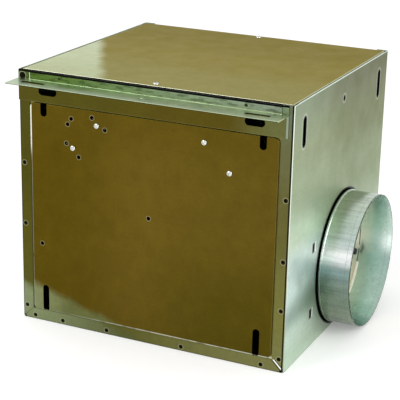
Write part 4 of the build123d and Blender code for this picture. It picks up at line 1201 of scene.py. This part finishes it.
def studio():
    """Pale floor that the camera sees as near white, an even white surround and two soft lamps."""
    deselect()
    bpy.ops.mesh.primitive_plane_add(size=8.0, location=(0, 0, 0))
    floor = bpy.context.object
    floor.name = "floor"
    material = bpy.data.materials.new("pale_floor")
    material.use_nodes = True
    tree = material.node_tree
    shader = tree.nodes["Principled BSDF"]
    for socket, value in (("Base Color", PALE), ("Roughness", 0.9), ("Emission Color", WHITE)):
        shader.inputs[socket].default_value = value
    rays = [add_node(tree, "LightPath", {}, name) for name in ("Is Camera Ray", "Is Glossy Ray")]
    seen = add_node(tree, "Math", dict(enumerate(rays)), operation="MAXIMUM")
    glow = add_node(tree, "Math", {0: seen, 1: FLOOR_GLOW}, operation="MULTIPLY")
    tree.links.new(glow, shader.inputs["Emission Strength"])
    floor.data.materials.append(material)
    world = bpy.context.scene.world or bpy.data.worlds.new("studio")
    bpy.context.scene.world = world
    world.use_nodes = True
    tree = world.node_tree
    tree.nodes.clear()
    lit = add_node(tree, "Background", {"Color": WHITE, "Strength": WORLD_LIGHT})
    backdrop = add_node(tree, "Background", {"Color": WHITE})
    rays = add_node(tree, "LightPath", {}, "Is Camera Ray")
    mixed = add_node(tree, "MixShader", {0: rays, 1: lit, 2: backdrop})
    tree.links.new(mixed, tree.nodes.new("ShaderNodeOutputWorld").inputs["Surface"])
    for name, place, size, power in LAMPS:
        bpy.ops.object.light_add(type="AREA", location=place)
        lamp = bpy.context.object
        lamp.name = name
        lamp.data.size = size
        lamp.data.energy = power
        lamp.rotation_mode = "QUATERNION"
        lamp.rotation_quaternion = (Vector((0, 0, 0.18)) - Vector(place)).to_track_quat("-Z", "Y")


camera_at_the_photograph()
studio()

# The housing's sheets
left = make_side("left_side", -1, CLOSED_MITRE)
right = make_side("right_side", 1, OPEN_MITRE)
pan = make_bottom()
front = make_front()
rail = make_rail()
flange = make_flange()
cover = make_cover()

# The collar and the small parts
collar = make_collar()
gasket = make_gasket()
clips = make_clips()
front_face = corners("front_panel")[0].y
cover_face = corners("top_cover")[1].z
shank_length = corners("hanger_screws")[1].y - front_face
front_screws = make_screws("front_round_screws", "hanger_screws", "housing",
                           at_depth(screw_places(), front_face), (0, -1, 0), shank_length)
cover_screws = make_screws("cover_round_screws", "cover_screws", "cover",
                           [(0, y, cover_face) for y in (-COVER_SCREW_Y, COVER_SCREW_Y)],
                           (0, 0, 1), COVER_SCREW_LEN)
eyelets = make_eyelets("seam_eyelets", "seam_rivets",
                       ((FRONT_RIVETS, -HALF_D, -1, 2.5), (TOP_RIVETS, RAIL_FACE, -1, 2.5),
                        (BACK_RIVETS, HALF_D, 1, 2.5)))
flange_eyelets = make_eyelets("flange_eyelets", "flange_rivets", ((FLANGE_RIVETS, PANEL_FACE, -1, 3.0),))

# Zinc-coated sheets, each painted with its own reflection and shade tones
side_coat = sheet_metal("side_sheet", side_paint, (1, 0.02, 1), 0.88, (0.32, 0.44))
cover_coat = sheet_metal("cover_sheet", cover_paint, ALONG_X, edge=(0.73, 0.67, 0.5, 1))
collar_coat = sheet_metal("collar_sheet", collar_paint, ALONG_X, rough=(0.2, 0.32), flaw=0.03)
for coat, *pieces in ((side_coat, left, right),
                      (sheet_metal("pan_sheet", pan_paint, ALONG_X), pan),
                      (sheet_metal("front_sheet", front_paint, ALONG_X, rough=(0.3, 0.42)), front),
                      (sheet_metal("rail_sheet", rail_paint, ALONG_X), rail),
                      (sheet_metal("flange_sheet", flange_paint, ALONG_X), flange),
                      (cover_coat, cover), (collar_coat, collar)):
    paint_pieces("galvanised_sheet", coat, *pieces)

# The new small pieces
paint_pieces("zinc_fastener", bare_metal("white_zinc", (214, 216, 208), (0.18, 0.3)),
             front_screws, cover_screws)
# Eyelets near black, as painted shade of the rivet holes.
paint_pieces("zinc_fastener", bare_metal("rivet_zinc_painted_shade", (34, 33, 18), (0.28, 0.4)), eyelets)
# Flange eyelets in a darker olive-green zinc.
paint_pieces("zinc_fastener", bare_metal("olive_flange_zinc", (88, 96, 70), (0.28, 0.4)), flange_eyelets)
paint_pieces("black_rubber", moulded("gasket_foam", (8, 8, 8), 0.95, 0.3, 0.0), gasket)
paint_pieces("black_plastic", moulded("clip_plastic", (16, 16, 16), 0.45), clips)

# The works inside, which keep the CAD model's shapes
paint_nodes(sheet_metal("plain_zinc", zinc_paint((160, 172, 150)), flaw=0.02),
            "back_panel", "wiring_box", "wiring_box_cover", "capacitor_strap", "scroll_wrap",
            "scroll_tongue", "scroll_front_plate", "scroll_rear_plate", "front_inlet_ring",
            "rear_inlet_ring", "outlet_plate", "motor_band", "motor_arms")
# Hangers painted dark as shade inside the housing, seen through the front holes.
paint_nodes(sheet_metal("shade_dark_zinc", zinc_paint((70, 74, 66))), "left_hanger", "right_hanger")
paint_nodes(sheet_metal("wheel_zinc", zinc_paint((150, 154, 146)), flaw=0.01),
            "wheel_front_ring", "wheel_rear_ring", "wheel_disc", "wheel_blades_front", "wheel_blades_rear")
paint_nodes(bare_metal("damper_aluminium", (206, 198, 172), (0.3, 0.42), 0.7, (1, 1, 0.05)), "damper_blade")
paint_nodes(bare_metal("bright_steel", (178, 178, 174), (0.2, 0.34)),
            "hub_set_screw", "motor_shaft", "motor_bearings", "bearing_clips", "damper_rod",
            "damper_spring", "arm_bolts", "arm_nuts", "wiring_box_screws", "wheel_hub")
# Hanger bolts and nuts painted dark as shade seen through the front holes.
paint_nodes(bare_metal("shade_dark_steel", (52, 50, 46), (0.35, 0.5)), "hanger_bolts", "hanger_nuts")
paint_nodes(painted_motor("motor_enamel", (40, 41, 43)),
            "motor_shell", "motor_front_bell", "motor_rear_bell")
paint_nodes(laminations("stacked_steel"), "motor_stator", "motor_rotor")
paint_nodes(winding("wound_copper"), "motor_windings")
paint_nodes(moulded("black_rubber", (24, 24, 24), 0.7), "arm_grommets")
paint_nodes(moulded("pale_felt", (226, 222, 204), 0.95, 0.1), "damper_upper_seal", "damper_lower_seal")
paint_nodes(moulded("pale_nylon", (222, 219, 206), 0.4, 0.05), "damper_bushings", "motor_receptacle")
paint_nodes(moulded("capacitor_case", (40, 42, 44), 0.35), "run_capacitor")

bpy.context.scene.view_settings.view_transform = "Standard"
